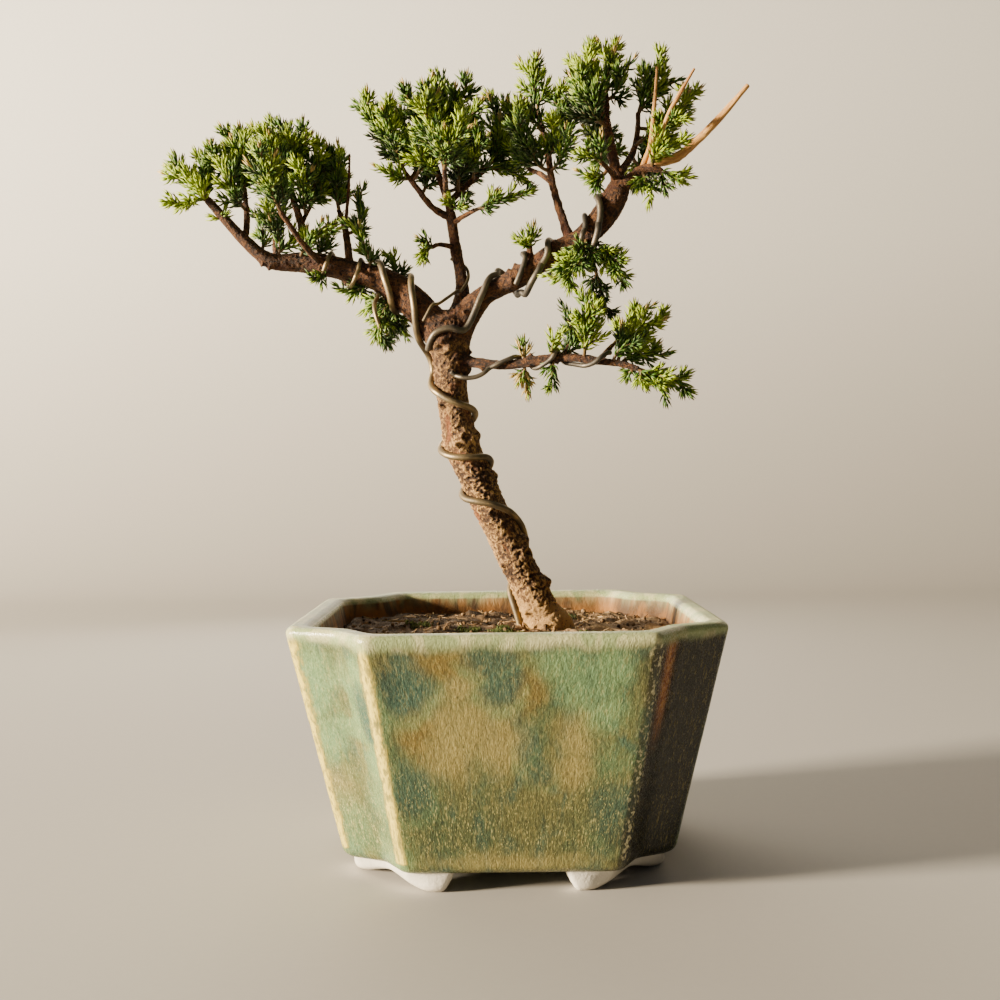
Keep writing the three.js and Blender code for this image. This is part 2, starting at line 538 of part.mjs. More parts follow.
// A solid between two outlines with the same number of points, which may be hollow-sided.
function prism(low, high) {
  const flat = low.map((p) => new THREE.Vector2(p.x, p.y));
  const count = low.length;
  const triangles = [];
  for (const [a, b, c] of THREE.ShapeUtils.triangulateShape(flat, [])) {
    triangles.push([a, c, b], [count + a, count + b, count + c]);
  }
  const turned = THREE.ShapeUtils.area(flat) > 0;
  for (let i = 0; i < count; i += 1) {
    const j = (i + 1) % count;
    const quad = [[i, j, count + j], [i, count + j, count + i]];
    triangles.push(...(turned ? quad : quad.map(([a, b, c]) => [a, c, b])));
  }
  return solid(facetedGeometry([...low, ...high], triangles));
}

function makePot() {
  const floor = POT.footHeight + POT.floorThickness;
  const baseEdge = potOutline(POT.footHeight, POT.baseRound);
  const floorEdge = potOutline(floor, POT.wall + POT.baseRound / 2);
  const rings = [
    circleLike(baseEdge, POT.drainHole / 2, POT.footHeight),
    baseEdge,
    potOutline(POT.footHeight + 0.3 * POT.baseRound, 0.3 * POT.baseRound),
    potOutline(POT.footHeight + POT.baseRound, 0),
    potOutline(POT.height - POT.rimRound, 0),
    potOutline(POT.height - 0.3 * POT.rimRound, 0.3 * POT.rimRound),
    potOutline(POT.height, POT.rimRound),
    potOutline(POT.height, POT.wall - POT.rimRound),
    potOutline(POT.height - POT.rimRound, POT.wall),
    potOutline(floor + POT.baseRound, POT.wall),
    floorEdge,
    circleLike(floorEdge, POT.drainHole / 2, floor),
  ];
  const feet = [0, 1, 2, 3].map(footSolid);
  return joined([solid(loft(rings, true)), ...feet]);
}

// Soil

// Height of the loose soil over its mean level, at a place in plan.
function soilRise(x, y) {
  const waves = Math.sin(0.21 * x + 0.6) * Math.cos(0.17 * y) + 0.6 * Math.sin(0.43 * x - 0.31 * y);
  return SOIL.unevenness * waves;
}

// A plain upright hole, as the solid that is taken away.
function uprightHole(x, y, radius, bottom) {
  const length = POT.height - bottom;
  const hole = new THREE.CylinderGeometry(radius, radius, length, SIDES.hole);
  hole.rotateX(Math.PI / 2);
  hole.translate(x, y, bottom + length / 2);
  return solid(hole);
}

function makeSoil() {
  const floor = POT.footHeight + POT.floorThickness + SEAT_GAP;
  const inset = POT.wall + SOIL.wallGap;
  const edge = potOutline(SOIL.surface - SOIL.edgeDrop, inset);
  const top = [1, 0.78, 0.52, 0.24].map((share) => edge.map((p) => {
    const rise = share === 1 ? 0 : SOIL.edgeDrop + soilRise(p.x * share, p.y * share);
    return new THREE.Vector3(p.x * share, p.y * share, p.z + rise);
  }));
  const rings = [
    potOutline(floor, inset + POT.baseRound / 2),
    potOutline(floor + POT.baseRound, inset),
    ...top,
  ];
  const [trunkX, trunkY, , trunkRadius] = TRUNK[1];
  const [wireX, wireY] = WIRES.wire_main.points[0];
  const trunkHole = trunkRadius + 2 * SEAT_GAP;
  const wireHole = WIRES.wire_main.radius + 2 * SEAT_GAP;
  return solid(loft(rings))
    .subtract(uprightHole(trunkX, trunkY, trunkHole, SOIL.surface - SOIL.trunkHoleDepth))
    .subtract(uprightHole(wireX, wireY, wireHole, SOIL.surface - SOIL.wireHoleDepth));
}

// Wood

const limbLines = {};

// Builds one limb, notes its middle line for what grows from it, and adds its rods.
function woodLimb(name, rows, sides, relief) {
  const points = rows.map(([x, y, z]) => new THREE.Vector3(x, y, z));
  const radii = rows.map((row) => row[3]);
  limbLines[name] = { points, radii };
  for (let i = 1; i < points.length; i += 1) {
    addRod('trunk', points[i - 1], points[i], radii[i - 1], radii[i]);
  }
  return limb(points, radii, sides, relief);
}

// A short knob on the trunk, at a height and turned from the front.
function knob([height, degrees, length, radius]) {
  const upper = TRUNK.findIndex((row) => row[2] > height);
  const [below, above] = [TRUNK[upper - 1], TRUNK[upper]];
  const share = (height - below[2]) / (above[2] - below[2]);
  const [x, y] = [0, 1].map((axis) => THREE.MathUtils.lerp(below[axis], above[axis], share));
  const trunkRadius = above[3];
  const turn = THREE.MathUtils.degToRad(degrees);
  const outwards = new THREE.Vector3(Math.sin(turn), -Math.cos(turn), KNOB_RISE).normalize();
  const middle = new THREE.Vector3(x, y, height);
  const reach = [0.4 * trunkRadius - 0.4 * length, trunkRadius - 0.1 * length, trunkRadius + 0.35 * length];
  const points = reach.map((distance) => middle.clone().addScaledVector(outwards, distance));
  const tipRadius = KNOB_TIP_SHARE * radius;
  addRod('trunk', points[0], points[2], radius, tipRadius);
  return limb(points, [radius, radius, tipRadius], SIDES.knob);
}

function makeWood() {
  const parts = [woodLimb('trunk', TRUNK, SIDES.trunk, BARK_RELIEF)];
  for (const [name, rows] of Object.entries(BRANCHES)) {
    parts.push(woodLimb(name, rows, SIDES.branch, BARK_RELIEF));
  }
  for (const [name, rows] of Object.entries(TWIGS)) {
    parts.push(woodLimb(name, rows, SIDES.twig, 0));
  }
  for (const [name, rows] of Object.entries(JINS)) {
    parts.push(woodLimb(`jin_${name}`, rows, SIDES.jin, 0));
  }
  parts.push(...KNOBS.map(knob));
  return joined(parts);
}

// Wires

// Moves the points of a wire out of the wood until every stretch between them just clears it.
function clearOfWood(route, radius) {
  const wood = rodsOf('trunk');
  for (let pass = 0; pass < WIRE_PASSES; pass += 1) {
    for (let i = 1; i < route.length; i += 1) {
      for (const rod of wood) {
        const { way, share } = betweenRods(route[i - 1], route[i], rod.start, rod.end);
        const thickness = rod.startRadius + (rod.endRadius - rod.startRadius) * share;
        const lack = thickness + radius + SEAT_GAP - way.length();
        if (lack > 0 && route[i].z > SOIL.surface) {
          way.normalize();
          route[i - 1].addScaledVector(way, WIRE_PUSH * lack);
          route[i].addScaledVector(way, WIRE_PUSH * lack);
        }
      }
    }
  }
}

function makeWire(name, { radius, points }) {
  const stations = points.map(([x, y, z]) => new THREE.Vector3(x, y, z));
  const curve = new THREE.CatmullRomCurve3(stations, false, 'centripetal');
  const route = curve.getSpacedPoints(Math.round(points.length * WIRE_STEPS_PER_POINT));
  clearOfWood(route, radius);
  for (let i = 1; i < route.length; i += 1) {
    addRod(name, route[i - 1], route[i], radius, radius);
  }
  return limb(route, route.map(() => radius), SIDES.wire);
}

// Foliage

// The place and direction on a limb from which a spray grows.
function placeOnLimb(name, share) {
  const { points, radii } = limbLines[name];
  const along = share * (points.length - 1);
  const i = Math.min(Math.floor(along), points.length - 2);
  const part = along - i;
  return {
    point: points[i].clone().lerp(points[i + 1], part),
    tangent: points[i + 1].clone().sub(points[i]).normalize(),
    radius: THREE.MathUtils.lerp(radii[i], radii[i + 1], part),
  };
}

// Free room round the flat end of a stem that stands square to a direction.
function capRoom(middle, direction, wood) {
  const [{ side, rise }] = framesAlong([middle, middle.clone().add(direction)]);
  const edge = [0, 1, 2].map((corner) => {
    const turn = (2 * Math.PI * corner) / 3;
    return middle.clone()
      .addScaledVector(side, SHOOT.stemRadius * Math.cos(turn))
      .addScaledVector(rise, SHOOT.stemRadius * Math.sin(turn));
  });
  return Math.min(...[middle, ...edge].map((point) => roomAround(point, point, 0, wood)));
}

// The stem of a spray, from the limb that carries it to its tip, in one soft bend.
function stemCurve([limbName, share, reach]) {
  const { point, tangent, radius } = placeOnLimb(limbName, share);
  const towards = new THREE.Vector3(...reach).sub(point);
  const length = towards.length() - NEEDLE.length + SHOOT.tipRadius;
  const tip = point.clone().addScaledVector(towards.clone().normalize(), length);
  const leave = towards.clone().normalize();
  const start = point.clone();
  if (share === 1) {
    leave.lerp(tangent, SHOOT.endTurn).normalize();
    start.addScaledVector(tangent, SEAT_GAP + SHOOT.stemRadius * Math.sin(leave.angleTo(tangent)));
  } else {
    leave.addScaledVector(tangent, -SHOOT.squareness * leave.dot(tangent)).normalize();
    start.addScaledVector(leave, radius);
    const wood = rodsOf('trunk');
    const step = SEAT_GAP / 7;
    while (capRoom(start, leave, wood) < SEAT_GAP) {
      start.addScaledVector(leave, step);
    }
  }
  const bend = start.clone().addScaledVector(leave, SHOOT.bendShare * length);
  return new THREE.QuadraticBezierCurve3(start, bend, tip);
}

// One shoot's slim core along a curve, in straight stretches.
function shootCore(owner, curve, startRadius, steps) {
  const points = curve.getPoints(steps);
  const radii = points.map((p, i) => THREE.MathUtils.lerp(startRadius, SHOOT.tipRadius, i / steps));
  const shoot = { points, radii, length: curve.getLength(), body: limb(points, radii, SIDES.core) };
  for (let i = 1; i <= steps; i += 1) {
    addRod(owner, points[i - 1], points[i], radii[i - 1], radii[i], shoot);
  }
  return shoot;
}

// The line of a side shoot, turned round the stem until it has room; null where it finds none.
function sideShootLine(owner, stem, place, index) {
  const root = stem.getPoint(place);
  const tangent = stem.getTangent(place);
  const across = Math.abs(tangent.z) < 0.9 ? UP : FRONT;
  const side = new THREE.Vector3().crossVectors(tangent, across).normalize();
  const rise = new THREE.Vector3().crossVectors(tangent, side);
  const others = rodsOfOthers(owner);
  for (let attempt = 0; attempt < SHOOT.sideTurns; attempt += 1) {
    const turn = GOLDEN_ANGLE * index + SHOOT.sideTurn * attempt;
    const crowded = attempt < SHOOT.sideTurns / 2 ? 1 : SHOOT.crowdedShare;
    const length = SHOOT.sideLength * (1 - SHOOT.sideTaper * place) * crowded;
    const outwards = side.clone().multiplyScalar(Math.cos(turn)).addScaledVector(rise, Math.sin(turn));
    const lean = tangent.clone().multiplyScalar(Math.cos(SHOOT.sideAngle));
    lean.addScaledVector(outwards, Math.sin(SHOOT.sideAngle)).addScaledVector(UP, SHOOT.lift).normalize();
    const tip = root.clone().addScaledVector(lean, length);
    const clearFrom = root.clone().addScaledVector(lean, 2 * SHOOT.stemRadius);
    if (roomAround(clearFrom, tip, SHOOT.stemRadius, others) > SHOOT.sideRoom) {
      return new THREE.LineCurve3(root, tip);
    }
  }
  return null;
}

// One three-sided needle from a root that is sunk in the core to its point.
function needle(root, direction, baseRadius, point) {
  const [{ side, rise }] = framesAlong([root, point]);
  const corners = [0, 1, 2].map((corner) => {
    const turn = (2 * Math.PI * corner) / 3;
    return root.clone()
      .addScaledVector(side, baseRadius * Math.cos(turn))
      .addScaledVector(rise, baseRadius * Math.sin(turn));
  });
  return solid(facetedGeometry([...corners, point], [[0, 2, 1], [0, 1, 3], [1, 2, 3], [2, 0, 3]]));
}

// Sets a needle in the first of some directions where it clears the wood, the wires, the other
// sprays and the rest of its own; gives null where there is no room, even for a short one.
function placedNeedle(owner, shoot, root, directions, baseRadius) {
  const others = rodsOfOthers(owner);
  const own = rodsOf(owner).filter((rod) => rod.shoot !== shoot);
  for (const share of NEEDLE.shortenings) {
    for (const direction of directions) {
      const point = root.clone().addScaledVector(direction, NEEDLE.length * share);
      const clearFrom = root.clone().addScaledVector(direction, SHOOT.stemRadius);
      const room = Math.min(roomAround(clearFrom, point, NEEDLE.halfWidth, others) - SEAT_GAP,
        roomAround(clearFrom, point, NEEDLE.halfWidth, own));
      if (room > 0) {
        addRod(owner, clearFrom, point, NEEDLE.halfWidth, 0);
        return needle(root, direction, baseRadius, point);
      }
    }
  }
  return null;
}

// All needles of one shoot: each stands square on the next face of the core, and leans
// forward more towards the tip, which ends in a needle that points straight on.
function needlesOn(owner, shoot) {
  const { points, radii, length } = shoot;
  const frames = framesAlong(points);
  const perStretch = Math.max(1, Math.round(length / (points.length - 1) / NEEDLE.spacing));
  const needles = [];
  let face = 0;
  for (let i = 1; i < points.length; i += 1) {
    const tangent = points[i].clone().sub(points[i - 1]).normalize();
    const side = frames[i - 1].side.clone().add(frames[i].side);
    side.addScaledVector(tangent, -side.dot(tangent)).normalize();
    const rise = new THREE.Vector3().crossVectors(tangent, side);
    for (let n = 0; n < perStretch; n += 1) {
      const part = (n + NEEDLE.firstPlace) / perStretch;
      const root = points[i - 1].clone().lerp(points[i], part);
      const along = (i - 1 + part) / (points.length - 1);
      const lean = THREE.MathUtils.lerp(NEEDLE.rootLean, NEEDLE.tipLean, along);
      const directions = [0, 1, 2].map((step) => {
        const turn = (Math.PI * (1 + 2 * (face + step))) / 3;
        return tangent.clone().multiplyScalar(Math.cos(lean))
          .addScaledVector(side, Math.sin(lean) * Math.cos(turn))
          .addScaledVector(rise, Math.sin(lean) * Math.sin(turn));
      });
      needles.push(placedNeedle(owner, shoot, root, directions, NEEDLE.baseShare * radii[i]));
      face += 1;
    }
  }
  const tip = points[points.length - 1];
  const onwards = tip.clone().sub(points[points.length - 2]).normalize();
  const tipRoot = tip.clone().addScaledVector(onwards, -SHOOT.tipRadius);
  needles.push(placedNeedle(owner, shoot, tipRoot, [onwards], NEEDLE.tipShare * SHOOT.tipRadius));
  return needles.filter((body) => body !== null);
}

function makeSprays() {
  const stems = Object.entries(SPRAYS).map(([name, plan]) => {
    const curve = stemCurve(plan);
    const shoots = [shootCore(name, curve, SHOOT.stemRadius, SHOOT.stemSteps)];
    return { name, curve, sideShoots: plan[3], shoots };
  });
  for (const stem of stems) {
    for (let i = 0; i < stem.sideShoots; i += 1) {
      const part = i / Math.max(stem.sideShoots - 1, 1);
      const place = THREE.MathUtils.lerp(SHOOT.firstSide, SHOOT.lastSide, part);
      const line = sideShootLine(stem.name, stem.curve, place, i);
      if (line) {
        stem.shoots.push(shootCore(stem.name, line, SHOOT.stemRadius, 1));
      }
    }
  }
  return stems.map(({ name, shoots }) => {
    const needles = shoots.flatMap((shoot) => needlesOn(name, shoot));
    return namedMesh(name, joined([...shoots.map((shoot) => shoot.body), ...needles]), FINISH.foliage);
  });
}

// The whole tree

const bonsai = new THREE.Group();
bonsai.add(namedMesh('pot', makePot(), FINISH.glaze));
bonsai.add(namedMesh('soil', makeSoil(), FINISH.soil));
bonsai.add(namedMesh('trunk', makeWood(), FINISH.bark));
for (const [name, wire] of Object.entries(WIRES)) {
  bonsai.add(namedMesh(name, makeWire(name, wire), FINISH.wire));
}
bonsai.add(...makeSprays());

const box = new THREE.Box3().setFromObject(bonsai);
bonsai.position.set(-(box.min.x + box.max.x) / 2, -(box.min.y + box.max.y) / 2, -box.min.z);

export default bonsai;
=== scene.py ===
"""Juniper bonsai in a square glazed pot: the finished look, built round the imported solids.

Every table is in millimetres from the middle of the pot: X to the right of a viewer who stands at
the front, Y away from that viewer, Z up from the surface that the pot stands on. Meshes are worked
out as whole numpy arrays and turned to metres when they are made.
"""

import logging
import math
from dataclasses import dataclass, field
from enum import Enum
from itertools import product

import bpy
import numpy as np
from mathutils import Matrix, Vector


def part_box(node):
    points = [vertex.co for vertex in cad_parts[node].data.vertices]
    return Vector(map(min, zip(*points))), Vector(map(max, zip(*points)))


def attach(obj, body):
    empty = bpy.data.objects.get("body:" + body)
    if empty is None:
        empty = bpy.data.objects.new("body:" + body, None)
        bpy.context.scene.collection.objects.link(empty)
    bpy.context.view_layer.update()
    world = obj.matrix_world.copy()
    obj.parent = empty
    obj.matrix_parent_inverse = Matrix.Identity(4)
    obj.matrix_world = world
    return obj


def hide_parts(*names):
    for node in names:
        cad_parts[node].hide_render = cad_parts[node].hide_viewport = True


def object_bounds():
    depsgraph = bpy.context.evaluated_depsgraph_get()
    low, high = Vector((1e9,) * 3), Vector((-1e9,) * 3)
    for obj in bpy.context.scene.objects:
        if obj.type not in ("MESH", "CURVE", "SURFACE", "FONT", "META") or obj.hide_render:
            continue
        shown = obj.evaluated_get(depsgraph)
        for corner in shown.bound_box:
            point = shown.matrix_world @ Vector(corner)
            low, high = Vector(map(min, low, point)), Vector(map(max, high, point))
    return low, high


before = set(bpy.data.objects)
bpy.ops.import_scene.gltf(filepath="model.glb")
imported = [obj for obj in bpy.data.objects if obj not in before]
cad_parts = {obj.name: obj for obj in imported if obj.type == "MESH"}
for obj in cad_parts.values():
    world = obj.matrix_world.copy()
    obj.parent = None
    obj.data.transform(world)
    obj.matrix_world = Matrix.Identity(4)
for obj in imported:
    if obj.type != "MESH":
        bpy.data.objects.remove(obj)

Array = np.ndarray
LOG = logging.getLogger("bonsai")
MM = 0.001
GOLDEN_ANGLE = 2.39996
UP = np.array([0.0, 0.0, 1.0])
FRONT = np.array([0.0, -1.0, 0.0])
CAD_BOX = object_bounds()

# Wood: each limb is a list of [x, y, z, radius] along its middle line. Scratch programs printed these
# rows, and the points of the wires: places picked by eye on the photo, each with a guessed depth, were
# put through the fitted camera. Some rows were changed after that.
TRUNK = [
    [16.4, 3, 64.6, 9.2], [16.2, 3, 78, 9.8], [14.4, 3, 82.6, 8], [10.8, 3, 90.9, 6.7], [7.5, 3, 98.5, 6.2],
    [3.9, 2, 106.2, 6.3], [0.3, 2, 113.8, 6.2], [-3.4, 1, 121.4, 6.0], [-7, 1, 128.9, 6.2],
    [-10.2, 0, 136.5, 6.1], [-13.4, 0, 143.2, 6.3], [-15.9, 0, 149.5, 6.5], [-17.3, 0, 157, 6.1],
    [-18.6, 0, 164.4, 5.8], [-19.6, 0, 171.8, 5.9], [-19.9, 0, 179.2, 6.1], [-19.7, 0, 186.6, 7.1],
    [-19.6, 0, 192.1, 7.1],
]

BRANCHES = {
    "left": [
        [-21.9, 0, 188.4, 6.3], [-28.8, 1, 197.8, 6], [-36.1, 2, 205.4, 5.6], [-43.5, 3, 210.7, 4.9],
        [-52.8, 4, 213.9, 4.1], [-63.8, 3, 216.6, 4.1], [-74.8, 2, 218.1, 3.7], [-83.7, 0, 218, 3],
        [-89.6, -2, 220.8, 2.4], [-95.7, -4, 226.5, 2], [-100.6, -6, 232.1, 1.8], [-106.6, -8, 239.1, 1.5],
    ],
    "centre": [
        [-17.8, 2, 192.2, 6], [-15.5, 4, 200.4, 3.81], [-15, 6, 208, 2.6], [-15.7, 8, 214.9, 2.14],
        [-17.1, 9, 222.5, 2.14], [-18.1, 10, 229.3, 1.95], [-19.1, 10, 236.8, 2.05],
    ],
    "right": [
        [-17.8, 0, 190.2, 5.4], [-12.1, -1, 198.7, 4.8], [-6.5, -2, 204.4, 3.68], [-0.9, -3, 207.2, 3.59],
        [6.5, -4, 210.6, 3.68], [13.8, -5, 215.5, 3.68], [21.1, -6, 219.7, 4.05], [28.4, -7, 223.1, 4.05],
        [35.7, -8, 229.7, 4.5], [40.9, -8, 237.5, 4.7], [43.5, -8, 242.9, 3.7],
    ],
    "low": [
        [-19.7, -2, 182.4, 3.1], [-12.4, -3, 179.9, 2], [-6.8, -5, 179, 1.7], [0.5, -7, 178.1, 1.7],
        [9.6, -9, 178.9, 1.7], [18.6, -11, 180.1, 1.5], [25.7, -13, 179.9, 1.5], [32.9, -14, 178.7, 1.4],
        [41.8, -15, 177.4, 1.2], [48.1, -16, 175.5, 1],
    ],
}

TWIGS = {
    "left_end_twig": [[-94.8, -3, 225.9, 1.5], [-94, -2, 232.5, 1.5], [-94.9, 0, 243.7, 1.1]],
    "left_crown_twig": [
        [-72.9, 2, 219.6, 1.9], [-74.9, 3, 232.9, 1.7], [-77, 3, 239.9, 1.5], [-78.7, 3, 246.9, 1.2],
    ],
    "left_spire_twig": [
        [-56.8, 3, 216.8, 1.9], [-57.9, 5, 226.3, 1.7], [-59, 6, 232.4, 1.5], [-61.3, 8, 238.6, 1.1],
    ],
    "left_back_twig": [[-83.9, 1, 218.1, 1.5], [-87.1, 16, 228.2, 1.3], [-88.4, 24, 236, 1.1]],
    "left_near_twig": [[-67.9, 0, 217.8, 1.6], [-72.4, -14, 223.1, 1.3], [-77.8, -23, 231.5, 1.1]],
    "left_inner_twig": [[-74.6, 3, 232.9, 1.2], [-71.8, 6, 239.9, 1]],
    "left_bare_twig": [[-58.6, 6, 233.1, 1], [-56.8, 2, 244.2, 0.7], [-55.8, -1, 257, 0.5]],
    "centre_left_twig": [
        [-19.2, 10, 235.6, 1.9], [-25.8, 8, 239.2, 1.5], [-30.8, 6, 245.2, 1.4], [-35.5, 5, 251.3, 1.1],
    ],
    "centre_top_twig": [
        [-18.8, 10, 236, 2.1], [-20.2, 10, 242.7, 1.9], [-22.4, 11, 248.8, 1.6], [-26, 12, 260.2, 1.1],
    ],
    "centre_right_twig": [[-19.1, 10, 242, 1.7], [-14.3, 15, 247.9, 1.5], [-5.1, 21, 257.1, 1.1]],
    "centre_low_twig": [[-17.1, 9, 224.3, 1.4], [-22.9, 4, 224.5, 1.1], [-25.8, 1, 223.1, 1]],
    "centre_scale_twig": [[-18.1, 10, 233.9, 1.4], [-13.1, 3, 235.3, 1.1], [-10, 0, 236.2, 1]],
    "centre_near_twig": [[-20.9, 10, 244.9, 1.4], [-20.4, -4, 246.3, 1.2], [-20.5, -10, 248.9, 1]],
    "second_stem": [
        [25.1, -6, 222.6, 2.6], [23.1, -4, 230.5, 2], [21, -3, 237.2, 1.8], [18.3, -3, 248.8, 1.6],
        [17.4, -3, 256.7, 1.5], [14, -3, 271.9, 1.1],
    ],
    "second_back_twig": [[18.3, -3, 245.9, 1.4], [14.6, 6, 251.1, 1.2], [11.1, 12, 254.1, 1]],
    "third_stem": [
        [43.4, -8, 240.3, 2.9], [42.2, -6, 248.6, 2.6], [40.7, -4, 258, 2.2], [39.4, -3, 267.2, 1.7],
        [39.2, -3, 277.3, 1.3],
    ],
    "fourth_stem": [
        [43.6, -7, 247.7, 1.9], [49.5, 4, 257.6, 1.5], [51.8, 8, 266.4, 1.3], [52.3, 9, 273.9, 1.1],
    ],
    "right_end_twig": [
        [43.1, -8, 241.1, 3], [47.8, -12, 245.3, 2.3], [52.7, -14, 247.7, 1.9], [57, -18.5, 245.4, 1.2],
    ],
    "third_low_twig": [[42.5, -7, 244.8, 1.6], [38.9, -16, 246.2, 1.2], [35.6, -22, 247.6, 1]],
    "hanging_twig": [[30.7, -5, 220.8, 1.6], [33.4, 4, 218.1, 1.3], [35.5, 8, 214.8, 1.1]],
    "first_twig": [[10.6, -4, 215, 2.2], [10.2, -6, 221.3, 1.2]],
    "low_upright_twig": [[35, -14, 179.2, 1.3], [39.7, -11, 184.3, 1]],
    "low_dark_twig": [[21.5, -12, 181, 1.2], [24.2, -9, 184.5, 1]],
}

JINS = {
    "upright": [
        [50.6, -13.2, 246.8, 1.1], [53.9, -13, 255.7, 0.9], [55.7, -11, 268.8, 0.7], [57.2, -9, 285.2, 0.45],
    ],
    "middle": [
        [53.4, -14.2, 248, 1.1], [58.2, -17, 261.2, 0.9], [61.5, -19, 268.4, 0.8], [68.8, -21, 280.4, 0.45],
    ],
    "long": [
        [55.4, -14.6, 248.6, 1.3], [62.6, -15, 250.8, 1.8], [68.2, -16, 254.6, 1.6], [77.7, -19, 263.3, 1.3],
        [87.4, -22, 274.0, 0.8],
    ],
}

# Cut twigs on the trunk: [height, degrees from the front to the right, length, radius].
KNOBS = [
    [96, 80, 3.2, 2.4], [112, 70, 2.6, 2.2], [121, 200, 2.6, 2.4], [136, 110, 2.4, 2.2], [151, 60, 2.6, 2.3],
    [167, 170, 2.4, 2.1], [176, 95, 2.8, 2.2],
]

# Wires: the radius, and points of the route before it is eased against the bark.
WIRES = {
    "wire_main": {"radius": 1.25, "points": [
        [4.7, 2, 65], [4.2, 2, 80.5], [3.3, 3.5, 90.9], [3, 7, 97.1], [5.5, 11, 103], [8.2, 8, 110.1],
        [6.3, 3, 117.7], [4.1, -3, 123.8], [-2.2, -7, 126.7], [-9.5, -6, 128.2], [-14.7, -1, 130.2],
        [-14.8, 5, 133.3], [-9.6, 8.5, 136.5], [-5.7, 5, 140.7], [-5.6, -2, 144.2],
        [-12.9, -8, 144.5], [-19.5, -6, 145],
        [-23, 0, 147.8], [-22, 6, 151.4], [-16.8, 8, 155.1], [-11.4, 4, 159.1], [-10.9, -2, 162],
        [-16.2, -7.5, 164.3], [-21.7, -7, 166.5], [-25.8, -2, 170.7], [-27.1, 4, 176.1], [-28.5, 4, 181],
        [-30.9, 1, 185.7], [-32, -4, 192], [-32.4, -6, 199.9], [-33.5, -4, 206.6], [-35.3, 2, 210.9],
        [-38, 9, 209.4], [-39.3, 9, 203.1], [-40.5, 4, 198.6], [-41.8, -3, 202.1], [-42.3, -4, 207.5],
        [-44.3, -1, 213.6], [-46.8, 4, 217.2],
    ]},
    "wire_right": {"radius": 1.2, "points": [
        [-28.6, -5, 184], [-27, -7.5, 187.5], [-24.4, -9, 190.5], [-19.3, -9.5, 191.8], [-15, -8.5, 190.8],
        [-12.1, -8, 192], [-9.8, -8, 197.6], [-7.1, -8, 205.1], [-4.5, -5, 211.5], [-1.2, 1, 213.9],
        [2.9, 4.5, 210.5], [5.7, 2, 205.1], [8.2, -5, 203.7], [11, -11, 208.2], [14.7, -11.5, 214.1],
        [17.8, -8, 220.2], [19.3, 0, 224.5], [24.5, 3, 220.3], [28, 0, 216.3], [30.8, -8, 215.4],
        [33.3, -14.5, 220.6], [35.1, -15.5, 227.6], [36, -12, 235.5], [36.4, -5, 239.3],
    ]},
    "wire_right_second": {"radius": 1.0, "points": [
        [5.2, -9.5, 206.8], [6.4, -10.5, 210.8], [8.2, -8.5, 216.7], [9.8, -2.5, 219.4], [13.2, 2, 218.6],
        [17.2, 2.5, 213.9], [21.3, -2, 212.2], [24.8, -9.5, 213.8], [27.6, -13.5, 219.1],
        [29.6, -14.5, 226.1], [30.2, -10, 231.5], [30.4, -5, 232.6],
    ]},
    "wire_left": {"radius": 0.8, "points": [
        [-45, -6, 192.5], [-46.4, -6, 196.8], [-47.2, -4, 201], [-46.8, 1, 204.7], [-47.9, 8, 209.8],
        [-50.6, 9, 216.3], [-52.4, 5, 219.6], [-52.4, -1, 218.4], [-53.4, -3, 213.2], [-55.8, -1, 208.8],
        [-57.8, 4, 208.1], [-60.5, 9, 212], [-62.2, 9, 218], [-63.2, 5, 221.6], [-63.7, 0, 220.6],
        [-64.9, -3.5, 215.9], [-67.1, -1, 211.5], [-70, 4, 211.6], [-71.3, 8, 215.5],
    ]},
    "wire_low": {"radius": 0.85, "points": [
        [-18.9, -8, 175.9], [-14.9, -8.5, 173.6], [-9.4, -9, 173.9], [-4.7, -9.5, 176.7],
        [-0.6, -10.5, 179.5], [3.1, -9.5, 181.6], [6, -6, 182.5], [9, -4.5, 180.3], [11, -7, 176.5],
        [13.5, -11, 176.3], [16.7, -14, 178.7], [19.6, -13, 182.3], [22.3, -9.5, 178.4],
        [24.6, -10.5, 176.5], [28.1, -13, 175.8], [31, -16.5, 176.2], [33.8, -17.5, 178.6],
        [36.4, -16.5, 181], [38.4, -14, 181.3],
    ]},
    "wire_thin": {"radius": 0.6, "points": [
        [-28.9, -8, 194.5], [-27.3, -8.5, 197.3], [-25.4, -8, 200.6], [-23.6, -6.5, 200.8],
        [-20.8, -3, 203.2], [-17, -1, 206.2], [-12.8, 3, 210.2], [-11.7, 9, 215.7],
        [-15.1, 12.5, 218.7], [-18.7, 10, 220.4],
    ]},
}

